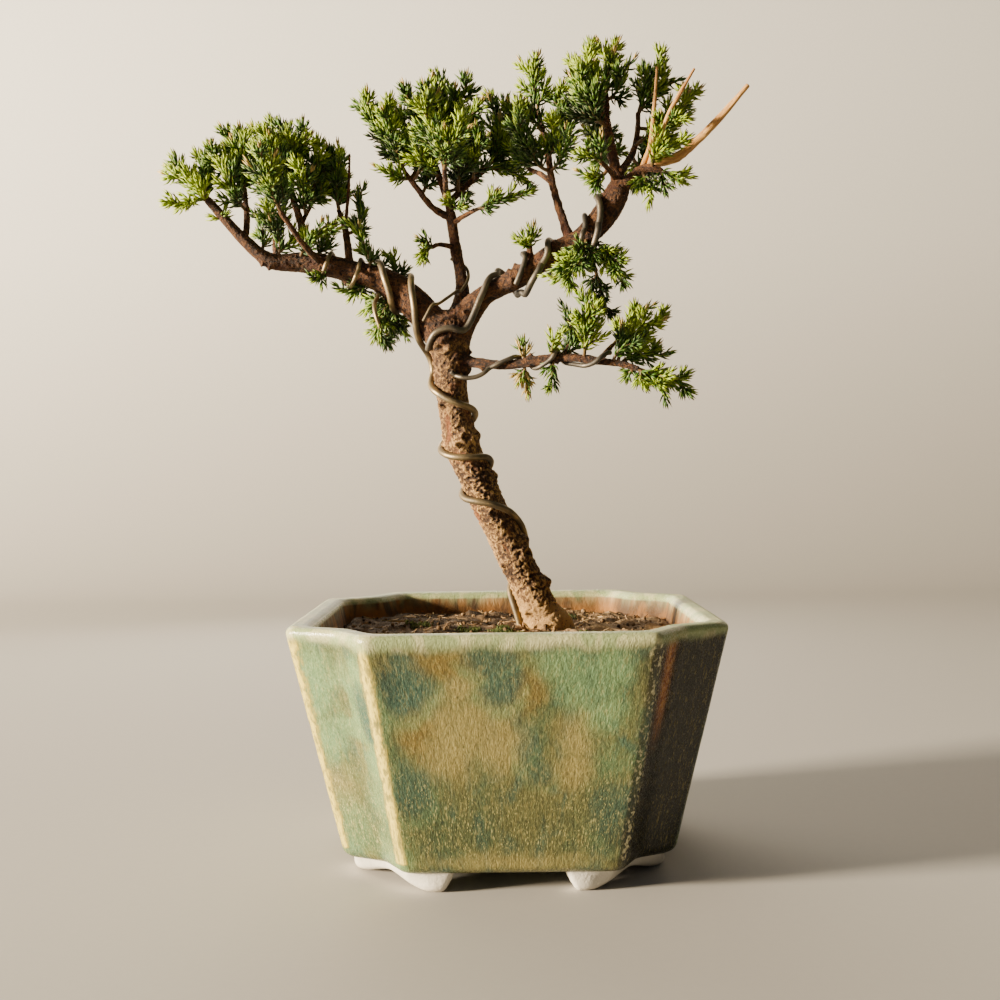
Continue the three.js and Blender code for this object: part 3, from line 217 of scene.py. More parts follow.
# Sprays: the limb, the place along its rows from 0 to 1 where the spray leaves it, the point that the
# last needle reaches for, and the size. A scratch program wrote these rows, the last of a chain that put
# points picked by eye on the photo, each with a guessed depth, through the fitted camera.
SPRAYS = {
    "left_tip": ["left", 1, [-124.3, -6, 254.7], 0.9],
    "left_front": ["left", 1, [-119.3, -20, 234.4], 0.8],
    "left_rise": ["left_end_twig", 1, [-102.5, 4, 270.5], 1],
    "left_back": ["left_back_twig", 1, [-98.7, 42, 279.9], 1],
    "left_near": ["left_near_twig", 1, [-82.6, -40, 252.1], 1],
    "left_crown": ["left_crown_twig", 1, [-81.1, 6, 272.3], 1],
    "left_inner": ["left_inner_twig", 1, [-67.3, 22, 258.9], 1],
    "left_spire": ["left_spire_twig", 1, [-63.8, 11, 264.6], 1],
    "left_spire_side": ["left_spire_twig", 0.5, [-53.2, 16, 251.9], 0.55],
    "left_top_outer": ["left", 0.333, [-57.3, -8, 235.2], 0.45],
    "left_top_inner": ["left", 0.26, [-44.2, 14, 226.9], 0.55],
    "left_cluster": ["left", 0.64, [-85.2, -10, 239.1], 0.9],
    "left_under": ["left", 0.37, [-51.5, 15, 202.7], 0.5],
    "left_fork": ["left", 0.255, [-42.3, 13, 187.8], 1],
    "centre_left": ["centre_left_twig", 1, [-53.0, 2, 282.2], 0.85],
    "centre_side": ["centre_left_twig", 0.92, [-47.2, -8, 251.1], 0.45],
    "centre_top": ["centre_top_twig", 1, [-20.3, 14, 292.8], 1],
    "centre_near": ["centre_near_twig", 1, [-27.8, -28, 271.3], 1],
    "centre_right": ["centre_right_twig", 1, [-0.5, 26, 289.6], 1],
    "centre_right_near": ["centre_right_twig", 0.3, [-9.4, -4, 277.2], 1],
    "centre_back": ["centre_top_twig", 0.5, [-17.6, 42, 288.5], 1],
    "centre_low": ["centre_low_twig", 1, [-32.1, -7, 218.4], 0.65],
    "centre_scale": ["centre_scale_twig", 1, [16.1, -8, 243.0], 0.5],
    "right_first": ["first_twig", 1, [6.3, -12, 223.4], 0.7],
    "second_top": ["second_stem", 1, [11.4, -2, 292.9], 1],
    "second_right": ["second_stem", 0.8, [23.1, 12, 286.3], 1],
    "second_left": ["second_stem", 0.62, [2.6, -15, 272.0], 1],
    "second_back": ["second_back_twig", 1, [2.4, 25, 268.6], 1],
    "second_low": ["second_stem", 0.62, [26.4, -21, 261.2], 0.42],
    "third_top": ["third_stem", 1, [41.2, -3, 298.4], 1],
    "third_left": ["third_stem", 0.7, [25.4, -14, 287.9], 1],
    "third_right": ["third_stem", 0.95, [48.4, -14, 288.3], 0.7],
    "third_low": ["third_low_twig", 1, [26.6, -34, 250.6], 0.85],
    "third_back": ["third_stem", 0.45, [35.3, 25, 271.6], 1],
    "fourth_top": ["fourth_stem", 1, [63.5, 12, 299.8], 0.85],
    "fourth_right": ["fourth_stem", 0.75, [78.4, 22, 287.3], 1],
    "fourth_low": ["fourth_stem", 0.3, [63.6, 26, 262.2], 1],
    "right_end": ["right_end_twig", 1, [66.2, -25, 238.3], 0.8],
    "right_jin": ["right_end_twig", 0.7, [64.9, -26, 255.5], 0.8],
    "hang_near": ["right", 0.72, [21.4, -23, 203.9], 0.9],
    "hang_middle": ["hanging_twig", 1, [40.4, 13, 195.2], 0.75],
    "hang_far": ["right", 0.74, [45.0, -24, 205.2], 0.65],
    "low_under_near": ["low", 0.42, [9.8, -2, 164.1], 0.45],
    "low_under_far": ["low", 0.55, [15.8, -19, 163.7], 0.4],
    "low_bright": ["low", 0.55, [21.6, -24, 192.1], 0.5],
    "low_dark": ["low_dark_twig", 1, [23.8, 1, 202.8], 0.65],
    "low_big": ["low", 0.72, [29.8, -29, 200.0], 1],
    "low_upright": ["low_upright_twig", 1, [55.4, -2, 201.9], 0.6],
    "low_far": ["low", 0.88, [61.1, -14, 197.2], 0.75],
    "low_tip": ["low", 1, [70.2, -18, 167.3], 0.65],
    "left_cloud_a": ["left_end_twig", 1, [-107.3, -12, 257.6], 0.95],
    "left_cloud_b": ["left_end_twig", 0.7, [-100.7, -16, 251.9], 0.9],
    "left_cloud_c": ["left_end_twig", 1, [-94.7, -8, 267.2], 0.9],
    "left_cloud_d": ["left_crown_twig", 0.8, [-86.3, -10, 268.0], 0.9],
    "left_cloud_e": ["left_crown_twig", 1, [-70.7, -8, 267.0], 0.95],
    "left_cloud_f": ["left_crown_twig", 1, [-90.1, 22, 275.9], 0.9],
    "left_cloud_g": ["left_inner_twig", 1, [-66.9, -4, 263.3], 0.9],
    "left_cloud_h": ["left_inner_twig", 0.5, [-70.7, -16, 251.4], 0.8],
    "left_cloud_i": ["left", 0.72, [-92.5, 8, 241.4], 0.5],
    "left_cloud_j": ["left", 0.55, [-59.0, -12, 231.5], 0.6],
    "left_cloud_k": ["left", 0.5, [-61.6, 14, 239.3], 0.6],
    "left_cloud_l": ["left_spire_twig", 1, [-59.1, -3, 262.7], 0.6],
    "left_cloud_m": ["left", 0.3, [-56.7, 10, 227.8], 0.3],
    "left_low_a": ["left", 0.47, [-70.9, -8, 207.0], 0.4],
    "left_low_b": ["left", 0.33, [-64.1, -2, 204.2], 0.5],
    "left_low_c": ["left", 0.22, [-47.5, -4, 184.6], 0.7],
    "left_low_d": ["left", 0.2, [-37.2, 6, 187.0], 0.6],
    "left_cloud_n": ["left_end_twig", 0.8, [-103.6, 8, 253.6], 0.55],
    "left_cloud_o": ["left", 1, [-121.0, 8, 253.8], 0.5],
    "centre_cloud_a": ["centre_left_twig", 1, [-43.2, -12, 275.8], 0.8],
    "centre_cloud_b": ["centre_left_twig", 0.9, [-41.0, 12, 281.8], 0.85],
    "centre_cloud_c": ["centre_left_twig", 0.85, [-34.5, -6, 283.4], 0.85],
    "centre_cloud_d": ["centre_left_twig", 0.6, [-34.7, 18, 272.1], 0.85],
    "centre_cloud_e": ["centre_top_twig", 0.75, [-33.6, -8, 260.3], 0.9],
    "centre_cloud_f": ["centre_top_twig", 1, [-28.0, 2, 288.6], 0.9],
    "centre_cloud_g": ["centre_top_twig", 1, [-9.5, 8, 288.5], 1],
    "centre_cloud_h": ["centre_right_twig", 1, [7.9, 18, 283.5], 0.9],
    "centre_cloud_i": ["centre_right_twig", 1, [12.4, 24, 257.7], 0.42],
    "centre_cloud_j": ["centre_right_twig", 1, [17.0, 16, 247.2], 0.45],
    "centre_cloud_k": ["centre_right_twig", 0.7, [-7.4, -6, 264.9], 0.8],
    "centre_cloud_l": ["centre_top_twig", 0.15, [-11.4, -6, 236.6], 0.5],
    "centre_cloud_m": ["centre_near_twig", 1, [-13.2, -30, 260.9], 0.9],
    "second_cloud_a": ["second_stem", 0.9, [8.7, -12, 273.8], 0.8],
    "second_cloud_b": ["second_stem", 0.75, [20.0, -16, 267.4], 0.8],
    "third_cloud_a": ["third_stem", 0.8, [29.9, -12, 295.0], 0.95],
    "third_cloud_b": ["third_stem", 0.75, [26.3, 6, 295.5], 0.9],
    "third_cloud_c": ["third_stem", 0.6, [33.9, 16, 281.4], 0.8],
    "third_cloud_d": ["third_low_twig", 0.6, [26.8, -28, 240.2], 0.6],
    "fourth_cloud_a": ["fourth_stem", 1, [68.4, 2, 287.7], 0.8],
    "fourth_cloud_b": ["fourth_stem", 0.5, [70.2, -2, 268.1], 0.75],
    "right_cloud_a": ["right_end_twig", 0.55, [54.0, -24, 231.7], 0.6],
    "right_cloud_b": ["right_end_twig", 0.3, [49.9, -2, 241.8], 0.6],
    "hang_cloud_a": ["right", 0.68, [17.4, -18, 202.9], 0.7],
    "hang_cloud_b": ["right", 0.72, [47.5, -14, 202.4], 0.55],
    "low_cloud_a": ["low", 0.86, [53.5, -22, 188.4], 0.75],
    "low_cloud_b": ["low", 0.9, [63.5, -6, 182.2], 0.7],
    "low_cloud_c": ["low", 1, [61.4, -22, 162.2], 0.6],
    "low_cloud_d": ["low", 0.97, [52.6, -10, 167.4], 0.45],
    "low_cloud_e": ["low", 0.62, [23.3, -4, 188.0], 0.6],
    "left_cloud_p": ["left", 1, [-107.8, -2, 265.5], 0.75],
    "fourth_cloud_c": ["fourth_stem", 0.6, [72.4, 8, 262.7], 0.6],
    "fourth_cloud_d": ["fourth_stem", 0.45, [67.2, -27, 263.5], 0.55],
    "right_cloud_c": ["right_end_twig", 0.8, [58.0, -30, 253.7], 0.6],
    "low_cloud_f": ["low", 0.42, [7.1, -8, 190.7], 0.35],
    "left_low_e": ["left", 0.93, [-104.1, -5, 227.7], 0.35],
}


def pot_middle() -> Array:
    """The point of the row frame, in metres, that every table is measured from."""
    low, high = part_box("pot")
    return np.array([(low.x + high.x) / 2, (low.y + high.y) / 2, 0.0])


ORIGIN = pot_middle()
BOX_LOW = (np.array(CAD_BOX[0]) - ORIGIN) / MM
BOX_HIGH = (np.array(CAD_BOX[1]) - ORIGIN) / MM
STEM_MARGIN = 1.5
THIRDS = 2 * math.pi * np.arange(3) / 3
AWL_FACES = [
    np.array([[0, 1, 4, 3], [1, 2, 5, 4], [2, 0, 3, 5]]),
    np.array([[0, 2, 1], [3, 4, 6], [4, 5, 6], [5, 3, 6]]),
]


# Numbers


def unit(vectors: Array) -> Array:
    """Vectors along the last axis, brought to length one."""
    return vectors / np.maximum(np.linalg.norm(vectors, axis=-1, keepdims=True), 1e-12)


def dot(first: Array, second: Array) -> Array:
    """Products of vectors along the last axis, which is kept with length one."""
    return np.sum(first * second, axis=-1, keepdims=True)


def smooth_step(low: float, high: float, value: Array) -> Array:
    """Runs from 0 at low to 1 at high, level at both ends: 3 t squared less 2 t cubed."""
    part = np.clip((value - low) / (high - low), 0.0, 1.0)
    return part * part * (3 - 2 * part)


def lattice(cells: Array, seed: int) -> Array:
    """A repeatable number from 0 to 1 for each whole-number cell.

    The three indices are multiplied by large odd numbers, added up and mixed by shifts.

    Args:
        cells: whole numbers, with the three indices on the last axis.
        seed: picks another set of numbers.

    Returns:
        One number for each cell.
    """
    mixed = cells[..., 0] * 374761393 + cells[..., 1] * 668265263 + cells[..., 2] * 974634777
    mixed = (mixed + seed * 1274126177) & 0xFFFFFFFF
    mixed = ((mixed ^ (mixed >> 13)) * 1274126177) & 0xFFFFFFFF
    return (mixed ^ (mixed >> 16)) / 0xFFFFFFFF


def value_noise(points: Array, seed: int) -> Array:
    """Smooth noise from 0 to 1.

    It blends the lattice numbers of the eight corners round each point by its place between them.

    Args:
        points: places, in cells of the lattice.
        seed: picks another noise.

    Returns:
        One number for each place.
    """
    base = np.floor(points).astype(np.int64)
    part = points - base
    part = part * part * (3 - 2 * part)
    total = np.zeros(points.shape[:-1])
    for corner in product((0, 1), repeat=3):
        offset = np.array(corner)
        weight = np.prod(np.where(offset == 1, part, 1 - part), axis=-1)
        total += weight * lattice(base + offset, seed)
    return total


def cloud_noise(points: Array, octaves: int, seed: int) -> Array:
    """Noise from 0 to 1: octaves of smooth noise, each twice as fine and half as strong.

    Args:
        points: places, in cells of the first octave.
        octaves: number of noises.
        seed: picks another set of them.

    Returns:
        One number for each place.
    """
    total = np.zeros(points.shape[:-1])
    for octave in range(octaves):
        total += value_noise(points * 2.0**octave, seed + octave) * 0.5**octave
    return total / (2 - 0.5 ** (octaves - 1))


def smooth_rows(rows: Array, steps: int) -> Array:
    """Carries a smooth curve through the rows of a table.

    Between two rows it is the cubic that passes both with slopes of half the way between
    their neighbours.

    Args:
        rows: one row for each station.
        steps: new stations for each gap.

    Returns:
        The rows of the finer table, which keeps the old ones.
    """
    rows = np.asarray(rows, float)
    padded = np.vstack([2 * rows[0] - rows[1], rows, 2 * rows[-1] - rows[-2]])
    a, b, c, d = (padded[i : len(rows) - 1 + i, None] for i in range(4))
    t = (np.arange(steps) / steps)[None, :, None]
    curve = 2 * b + (c - a) * t + (2 * a - 5 * b + 4 * c - d) * t**2
    curve = 0.5 * (curve + (3 * b - a - 3 * c + d) * t**3)
    return np.vstack([curve.reshape(-1, rows.shape[1]), rows[-1]])


def spread_evenly(path: Array, spacing: float) -> Array:
    """Stations at even spacing along a polyline, by its length.

    Args:
        path: rows that start with a point; what follows it is carried along.
        spacing: the gap aimed at; the real one divides the length evenly.

    Returns:
        The new rows, at least three.
    """
    lengths = np.linalg.norm(np.diff(path[:, :3], axis=0), axis=1)
    along = np.concatenate([[0.0], np.cumsum(lengths)])
    count = max(3, int(round(along[-1] / spacing)) + 1)
    places = np.linspace(0, along[-1], count)
    return np.stack([np.interp(places, along, path[:, i]) for i in range(path.shape[1])], axis=1)


def carried_frames(path: Array) -> tuple[Array, Array, Array]:
    """Directions at the stations of a line, each square to the next, carried without twist.

    Args:
        path: the stations.

    Returns:
        Tangent, side and rise at each station.
    """
    tangents = unit(np.gradient(path, axis=0))
    across = FRONT if abs(tangents[0, 1]) < 0.9 else UP
    side = np.cross(tangents[0], across)
    sides = []
    for tangent in tangents:
        side = unit(side - np.dot(side, tangent) * tangent)
        sides.append(side)
    sides = np.array(sides)
    return tangents, sides, np.cross(tangents, sides)


def grid_faces(rows: int, columns: int, ring: bool = True, comes_back: bool = False) -> Array:
    """Four-sided faces of a grid of points, row by row.

    Args:
        rows: number of rows.
        columns: points in a row.
        ring: each row is a closed ring.
        comes_back: the last row is joined to the first.

    Returns:
        The corners of each face.
    """
    i = np.arange(rows if comes_back else rows - 1)[:, None]
    j = np.arange(columns if ring else columns - 1)[None, :]
    k, below = (j + 1) % columns, ((i + 1) % rows) * columns
    i = i * columns
    return np.stack([i + j, i + k, below + k, below + j], axis=-1).reshape(-1, 4)


def tube_faces(rows: int, columns: int) -> list[Array]:
    """The faces of a tube of rings, with a flat face over each end."""
    ring = np.arange(columns)[None, :]
    return [grid_faces(rows, columns), ring[:, ::-1], ring + (rows - 1) * columns]


def copies(faces: list[Array], points: int, count: int) -> list[Array]:
    """Repeats the faces of one shape for many shapes whose points follow each other.

    Args:
        faces: groups of faces of the first shape.
        points: number of points of one shape.
        count: number of shapes.

    Returns:
        The groups of faces of all shapes.
    """
    shift = points * np.arange(count)[:, None, None]
    return [(group + shift).reshape(-1, group.shape[-1]) for group in faces]


def kept_inside(points: Array) -> Array:
    """Points pulled in where they come too near the sides of the CAD box."""
    return np.clip(points, BOX_LOW + STEM_MARGIN, BOX_HIGH - STEM_MARGIN)


def tube_points(path: Array, radii: Array, sides: int) -> Array:
    """Rings round a path: middle + radius (side cos turn + rise sin turn).

    Args:
        path: the middle line.
        radii: the radius at each of its stations.
        sides: points of a ring.

    Returns:
        Points, shaped (stations, sides, 3).
    """
    _, side, rise = carried_frames(path)
    turn = (2 * math.pi * np.arange(sides) / sides)[None, :, None]
    ring = side[:, None] * np.cos(turn) + rise[:, None] * np.sin(turn)
    return path[:, None] + np.asarray(radii)[:, None, None] * ring


def rounded_ends(path: Array, radii: Array, stretch: float) -> tuple[Array, Array]:
    """Adds round ends to a tube: the radius falls as a quarter circle over a short stretch.

    Args:
        path: the middle line.
        radii: the radius at each of its stations.
        stretch: length of each end.

    Returns:
        Middle line and radii with three more stations at each end.
    """
    bend = np.array([0.25, 0.6, 0.92])
    reach, fall = stretch * np.sin(bend * math.pi / 2), np.cos(bend * math.pi / 2)
    first, last = unit(path[0] - path[1]), unit(path[-1] - path[-2])
    start = (path[0] + reach[:, None] * first)[::-1]
    end = path[-1] + reach[:, None] * last
    return np.vstack([start, path, end]), np.concatenate(
        [radii[0] * fall[::-1], radii, radii[-1] * fall]
    )


@dataclass
class Skin:
    """One piece's mesh while it is put together from whole arrays.

    Attributes:
        name: the piece's name.
        names: the named values that each point carries.
    """

    name: str
    names: tuple[str, ...] = ()
    points: list[Array] = field(default_factory=list)
    faces: list[Array] = field(default_factory=list)
    values: dict[str, list[Array]] = field(default_factory=dict)
    count: int = 0

    def add(self, points: Array, faces: list[Array], **values: Array | float) -> None:
        """Adds points, their faces and their named values.

        Args:
            points: the points, in any shape that ends with three.
            faces: groups of faces, which count from the first of these points.
            values: one number for all points, or one for each.
        """
        points = points.reshape(-1, 3)
        self.points.append(points)
        self.faces.extend(group + self.count for group in faces)
        self.count += len(points)
        for name in self.names:
            value = np.asarray(values.get(name, 0.0), float)
            value = value.ravel() if value.ndim else np.full(len(points), float(value))
            self.values.setdefault(name, []).append(value)

    def make(self, smooth: bool = True) -> bpy.types.Object:
        """Turns the arrays into a mesh object in metres, at the origin.

        Args:
            smooth: shade the faces as one round surface.

        Returns:
            The object.
        """
        mesh = bpy.data.meshes.new(self.name)
        points = np.concatenate(self.points) * MM + ORIGIN
        corners = np.concatenate([group.ravel() for group in self.faces])
        sizes = np.concatenate([np.full(len(g), g.shape[1]) for g in self.faces])
        mesh.vertices.add(len(points))
        mesh.vertices.foreach_set("co", points.astype(np.float32).ravel())
        mesh.loops.add(len(corners))
        mesh.loops.foreach_set("vertex_index", corners.astype(np.int32))
        mesh.polygons.add(len(sizes))
        starts = np.concatenate([[0], np.cumsum(sizes)[:-1]])
        mesh.polygons.foreach_set("loop_start", starts.astype(np.int32))
        mesh.polygons.foreach_set("use_smooth", np.full(len(sizes), smooth))
        mesh.update(calc_edges=True)
        for name, parts in self.values.items():
            set_value(mesh, name, np.concatenate(parts))
        piece = bpy.data.objects.new(self.name, mesh)
        bpy.context.scene.collection.objects.link(piece)
        return piece


def set_value(mesh: bpy.types.Mesh, name: str, values: Array) -> None:
    """Stores one number, or one vector, for each point of a mesh under a name.

    Args:
        mesh: the mesh.
        name: the name that materials ask for.
        values: numbers, or rows of three.
    """
    if values.ndim == 2:
        layer = mesh.attributes.new(name, "FLOAT_VECTOR", "POINT")
        layer.data.foreach_set("vector", values.astype(np.float32).ravel())
    else:
        layer = mesh.attributes.new(name, "FLOAT", "POINT")
        layer.data.foreach_set("value", values.astype(np.float32))


def dress(piece: bpy.types.Object, material: bpy.types.Material, slot: str, *nodes: str) -> None:
    """Gives a piece its material and its body, hides the solids that it stands for, and logs it.

    Args:
        piece: the mesh object.
        material: its only material.
        slot: not used.
        nodes: names of the CAD nodes that it replaces.
    """
    piece.data.materials.append(material)
    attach(piece, "root")
    if nodes:
        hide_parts(*nodes)
    LOG.info("%s: %d points", piece.name, len(piece.data.vertices))


# Materials

Colour = tuple[float, float, float]
Socket = bpy.types.NodeSocket
BLACK = (0.0, 0.0, 0.0)


class Paint:
    """A material of nodes while it is put together."""

    def __init__(self, name: str, roughness: float, **sockets: float) -> None:
        """Starts a material whose even values are set on the shader's own sockets.

        Args:
            name: name of the material.
            roughness: roughness where no socket is joined to it later.
            sockets: other values of the shader, with low lines for the spaces in their names.
        """
        self.material = bpy.data.materials.new(name)
        self.material.use_nodes = True
        tree = self.material.node_tree
        self.nodes, self.links = tree.nodes, tree.links
        self.shader = self.nodes["Principled BSDF"]
        self.shader.inputs["Roughness"].default_value = roughness
        for socket, value in sockets.items():
            self.shader.inputs[socket.replace("_", " ")].default_value = value

    def _fill(self, socket: Socket, value: object) -> None:
        """Links a socket, or sets it to a number or a colour.

        Args:
            socket: the input.
            value: socket, number or colour.
        """
        if isinstance(value, Socket):
            self.links.new(value, socket)
        elif isinstance(value, tuple) and len(value) == 3 and len(socket.default_value) == 4:
            socket.default_value = (*value, 1.0)
        else:
            socket.default_value = value

    def attribute(self, name: str, vector: bool = False) -> Socket:
        """A named value of the mesh.

        Args:
            name: the name that the mesh stores it under.
            vector: it is a row of three.

        Returns:
            The value.
        """
        node = self.nodes.new("ShaderNodeAttribute")
        node.attribute_name = name
        return node.outputs["Vector" if vector else "Fac"]

    def place(self, scale: Colour, source: Socket | None = None) -> Socket:
        """Coordinates stretched along each axis.

        Args:
            scale: factor for each axis.
            source: a vector to stretch; without it, object coordinates in metres.

        Returns:
            The stretched vector.
        """
        if source is None:
            source = self.nodes.new("ShaderNodeTexCoord").outputs["Object"]
        node = self.nodes.new("ShaderNodeMapping")
        node.inputs["Scale"].default_value = scale
        self.links.new(source, node.inputs["Vector"])
        return node.outputs["Vector"]

    def height(self, low: float, high: float) -> Socket:
        """Runs from 0 to 1 between two heights, in metres.

        Args:
            low: height of 0.
            high: height of 1.

        Returns:
            The share.
        """
        node = self.nodes.new("ShaderNodeSeparateXYZ")
        self.links.new(self.nodes.new("ShaderNodeTexCoord").outputs["Object"], node.inputs[0])
        return self.ramp(node.outputs["Z"], low, high)

    def noise(self, where: Socket, detail: float = 4.0, bend: float = 0.0) -> Socket:
        """Cloudy noise, about 0.3 to 0.7.

        Args:
            where: the coordinates.
            detail: number of finer layers.
            bend: how far the coordinates are warped.

        Returns:
            The noise.
        """
        node = self.nodes.new("ShaderNodeTexNoise")
        node.inputs["Scale"].default_value = 1.0
        node.inputs["Detail"].default_value = detail
        node.inputs["Distortion"].default_value = bend
        self.links.new(where, node.inputs["Vector"])
        return node.outputs["Fac"]

    def cells(self, where: Socket) -> Socket:
        """Distance to the nearest of scattered points.

        Args:
            where: the coordinates.

        Returns:
            The distance.
        """
        node = self.nodes.new("ShaderNodeTexVoronoi")
        node.inputs["Scale"].default_value = 1.0
        self.links.new(where, node.inputs["Vector"])
        return node.outputs["Distance"]

    def ramp(
        self, value: Socket, low: float, high: float, start: float = 0.0, end: float = 1.0
    ) -> Socket:
        """Runs smoothly between two numbers while a value runs between two others.

        Args:
            value: the value.
            low: where the run starts; it may be the larger one.
            high: where the run ends.
            start: result at low and beyond.
            end: result at high and beyond.

        Returns:
            The result.
        """
        node = self.nodes.new("ShaderNodeMapRange")
        node.interpolation_type = "SMOOTHSTEP"
        self.links.new(value, node.inputs["Value"])
        ends = {"From Min": low, "From Max": high, "To Min": start, "To Max": end}
        for socket, number in ends.items():
            node.inputs[socket].default_value = number
        return node.outputs["Result"]

    def step(self, kind: str, first: object, second: object) -> Socket:
        """One step of arithmetic.

        Args:
            kind: ADD, MULTIPLY, SUBTRACT or MINIMUM.
            first: socket or number.
            second: socket or number.

        Returns:
            The result.
        """
        node = self.nodes.new("ShaderNodeMath")
        node.operation = kind
        self._fill(node.inputs[0], first)
        self._fill(node.inputs[1], second)
        return node.outputs[0]

    def times(self, first: object, second: object) -> Socket:
        """The product of two sockets or numbers."""
        return self.step("MULTIPLY", first, second)

    def plus(self, first: object, second: object) -> Socket:
        """The total of two sockets or numbers."""
        return self.step("ADD", first, second)

    def mix(self, share: object, first: object, second: object, kind: str = "MIX") -> Socket:
        """Blends two colours, or multiplies the first by the second.

        Args:
            share: how far the second one counts, from 0 to 1.
            first: socket or colour.
            second: socket or colour.
            kind: MIX or MULTIPLY.

        Returns:
            The blended colour.
        """
        node = self.nodes.new("ShaderNodeMix")
        node.data_type = "RGBA"
        node.blend_type = kind
        self._fill(node.inputs[0], share)
        self._fill(node.inputs[6], first)
        self._fill(node.inputs[7], second)
        return node.outputs[2]

    def finish(
        self, colour: object, roughness: object = None, height: object = None, depth: float = 0.001
    ) -> bpy.types.Material:
        """Joins colour, roughness and bump to the shader.

        Args:
            colour: socket or colour of the surface.
            roughness: socket, where it varies.
            height: socket of the fine relief.
            depth: depth of that relief, in metres.

        Returns:
            The finished material.
        """
        self._fill(self.shader.inputs["Base Color"], colour)
        if roughness is not None:
            self._fill(self.shader.inputs["Roughness"], roughness)
        if height is not None:
            node = self.nodes.new("ShaderNodeBump")
            node.inputs["Distance"].default_value = depth
            self.links.new(height, node.inputs["Height"])
            self.links.new(node.outputs["Normal"], self.shader.inputs["Normal"])
        return self.material


# Studio


@dataclass(frozen=True)
class Lamp:
    """A soft square lamp: its place and aim in millimetres, side in metres, power and colour."""

    name: str
    place: Colour
    aim: Colour
    side: float
    power: float
    colour: Colour


@dataclass(frozen=True)
class Studio:
    """The camera at the photographer's place, soft light, and a plain pale sweep of paper."""

    lens: float = 43.61
    place: Colour = (-1.76, -451.7, 136.9)
    pitch: float = 1.058
    roll: float = -0.726
    sky: Colour = (0.93, 0.96, 1.0)
    sky_strength: float = 0.045
    sensor: float = 36.0
    paper_near: float = -1600.0
    paper_bend: float = 900.0
    paper_curve: float = 500.0
    paper_top: float = 2600.0
    paper_half: float = 2400.0
    lamps: tuple[Lamp, ...] = (
        Lamp("key_lamp", (-2640, -690, 510), (0, 0, 150), 0.45, 500.0, (1.0, 0.84, 0.61)),
        Lamp("top_lamp", (60, -60, 900), (0, 0, 150), 0.7, 0.5, (1.0, 0.97, 0.92)),
        Lamp("fill_lamp", (-350, -760, 260), (0, 0, 130), 0.8, 0.35, (0.92, 0.96, 1.0)),
        Lamp("back_lamp", (-160, 640, 420), (0, 0, 170), 0.5, 2.4, (1.0, 0.92, 0.8)),
    )

    def camera(self) -> None:
        """Sets the camera: level, then tipped down by the pitch and turned by the roll."""
        pitch, roll = math.radians(self.pitch), math.radians(self.roll)
        forward = np.array([0.0, math.cos(pitch), -math.sin(pitch)])
        right, up = np.array([1.0, 0.0, 0.0]), np.array([0.0, math.sin(pitch), math.cos(pitch)])
        across = math.cos(roll) * right + math.sin(roll) * up
        upright = math.cos(roll) * up - math.sin(roll) * right
        data = bpy.data.cameras.new("camera")
        data.lens, data.sensor_width = self.lens, self.sensor
        data.clip_start, data.clip_end = 0.02, 20.0
        camera = bpy.data.objects.new("camera", data)
        bpy.context.scene.collection.objects.link(camera)
        turn = Matrix(np.stack([across, upright, -forward], axis=1).tolist()).to_4x4()
        place = np.array(self.place) * MM + ORIGIN
        camera.matrix_world = Matrix.Translation(Vector(place)) @ turn
        bpy.context.scene.camera = camera

    def light(self) -> None:
        """Sets the lamps and an even sky."""
        for lamp in self.lamps:
            data = bpy.data.lights.new(lamp.name, "AREA")
            data.size, data.energy, data.color = lamp.side, lamp.power, lamp.colour
            piece = bpy.data.objects.new(lamp.name, data)
            bpy.context.scene.collection.objects.link(piece)
            place = Vector(np.array(lamp.place) * MM + ORIGIN)
            aim = Vector(np.array(lamp.aim) * MM + ORIGIN)
            piece.location = place
            piece.rotation_euler = (aim - place).to_track_quat("-Z", "Y").to_euler()
        world = bpy.data.worlds.new("sky")
        world.use_nodes = True
        sky = world.node_tree.nodes["Background"]
        sky.inputs["Color"].default_value = (*self.sky, 1.0)
        sky.inputs["Strength"].default_value = self.sky_strength
        bpy.context.scene.world = world

    def floor(self) -> None:
        """Makes the paper: level round the pot, and curved up into a wall far behind it."""
        turn = np.linspace(-1.0, 1.0, 41)[21:] * 1.57
        curve = self.paper_curve
        level = np.linspace(self.paper_near, self.paper_bend, 12)
        depth = np.concatenate([level, self.paper_bend + curve * np.sin(turn)])
        rise = np.concatenate([np.zeros(12), curve - curve * np.cos(turn)])
        depth = np.append(depth, self.paper_bend + curve)
        rise = np.append(rise, self.paper_top)
        width = np.linspace(-self.paper_half, self.paper_half, 9)
        grid = (len(depth), len(width))
        columns = (width[None, :], depth[:, None], rise[:, None])
        points = np.stack([np.broadcast_to(column, grid) for column in columns], axis=-1)
        skin = Skin("paper_sweep")
        skin.add(points, [grid_faces(*grid, ring=False)[:, ::-1]])
        paper = Paint("pale_paper", 0.85)
        grain = paper.noise(paper.place((300, 300, 300)), 3)
        tone = paper.mix(paper.height(0.0, 0.9), (0.44, 0.42, 0.39), (0.72, 0.71, 0.68))
        colour = paper.mix(paper.ramp(grain, 0.3, 0.7, 0.0, 0.05), tone, (0.3, 0.3, 0.3))
        piece = skin.make()
        piece.data.materials.append(paper.finish(colour))


# Pot


class Patch(Enum):
    """The colours that lie as patches in the glaze."""

    TEAL = "teal"
    AMBER = "amber"
    TAN = "tan"
    PALE = "pale"
    DARK = "dark"
    SHORE = "shore"


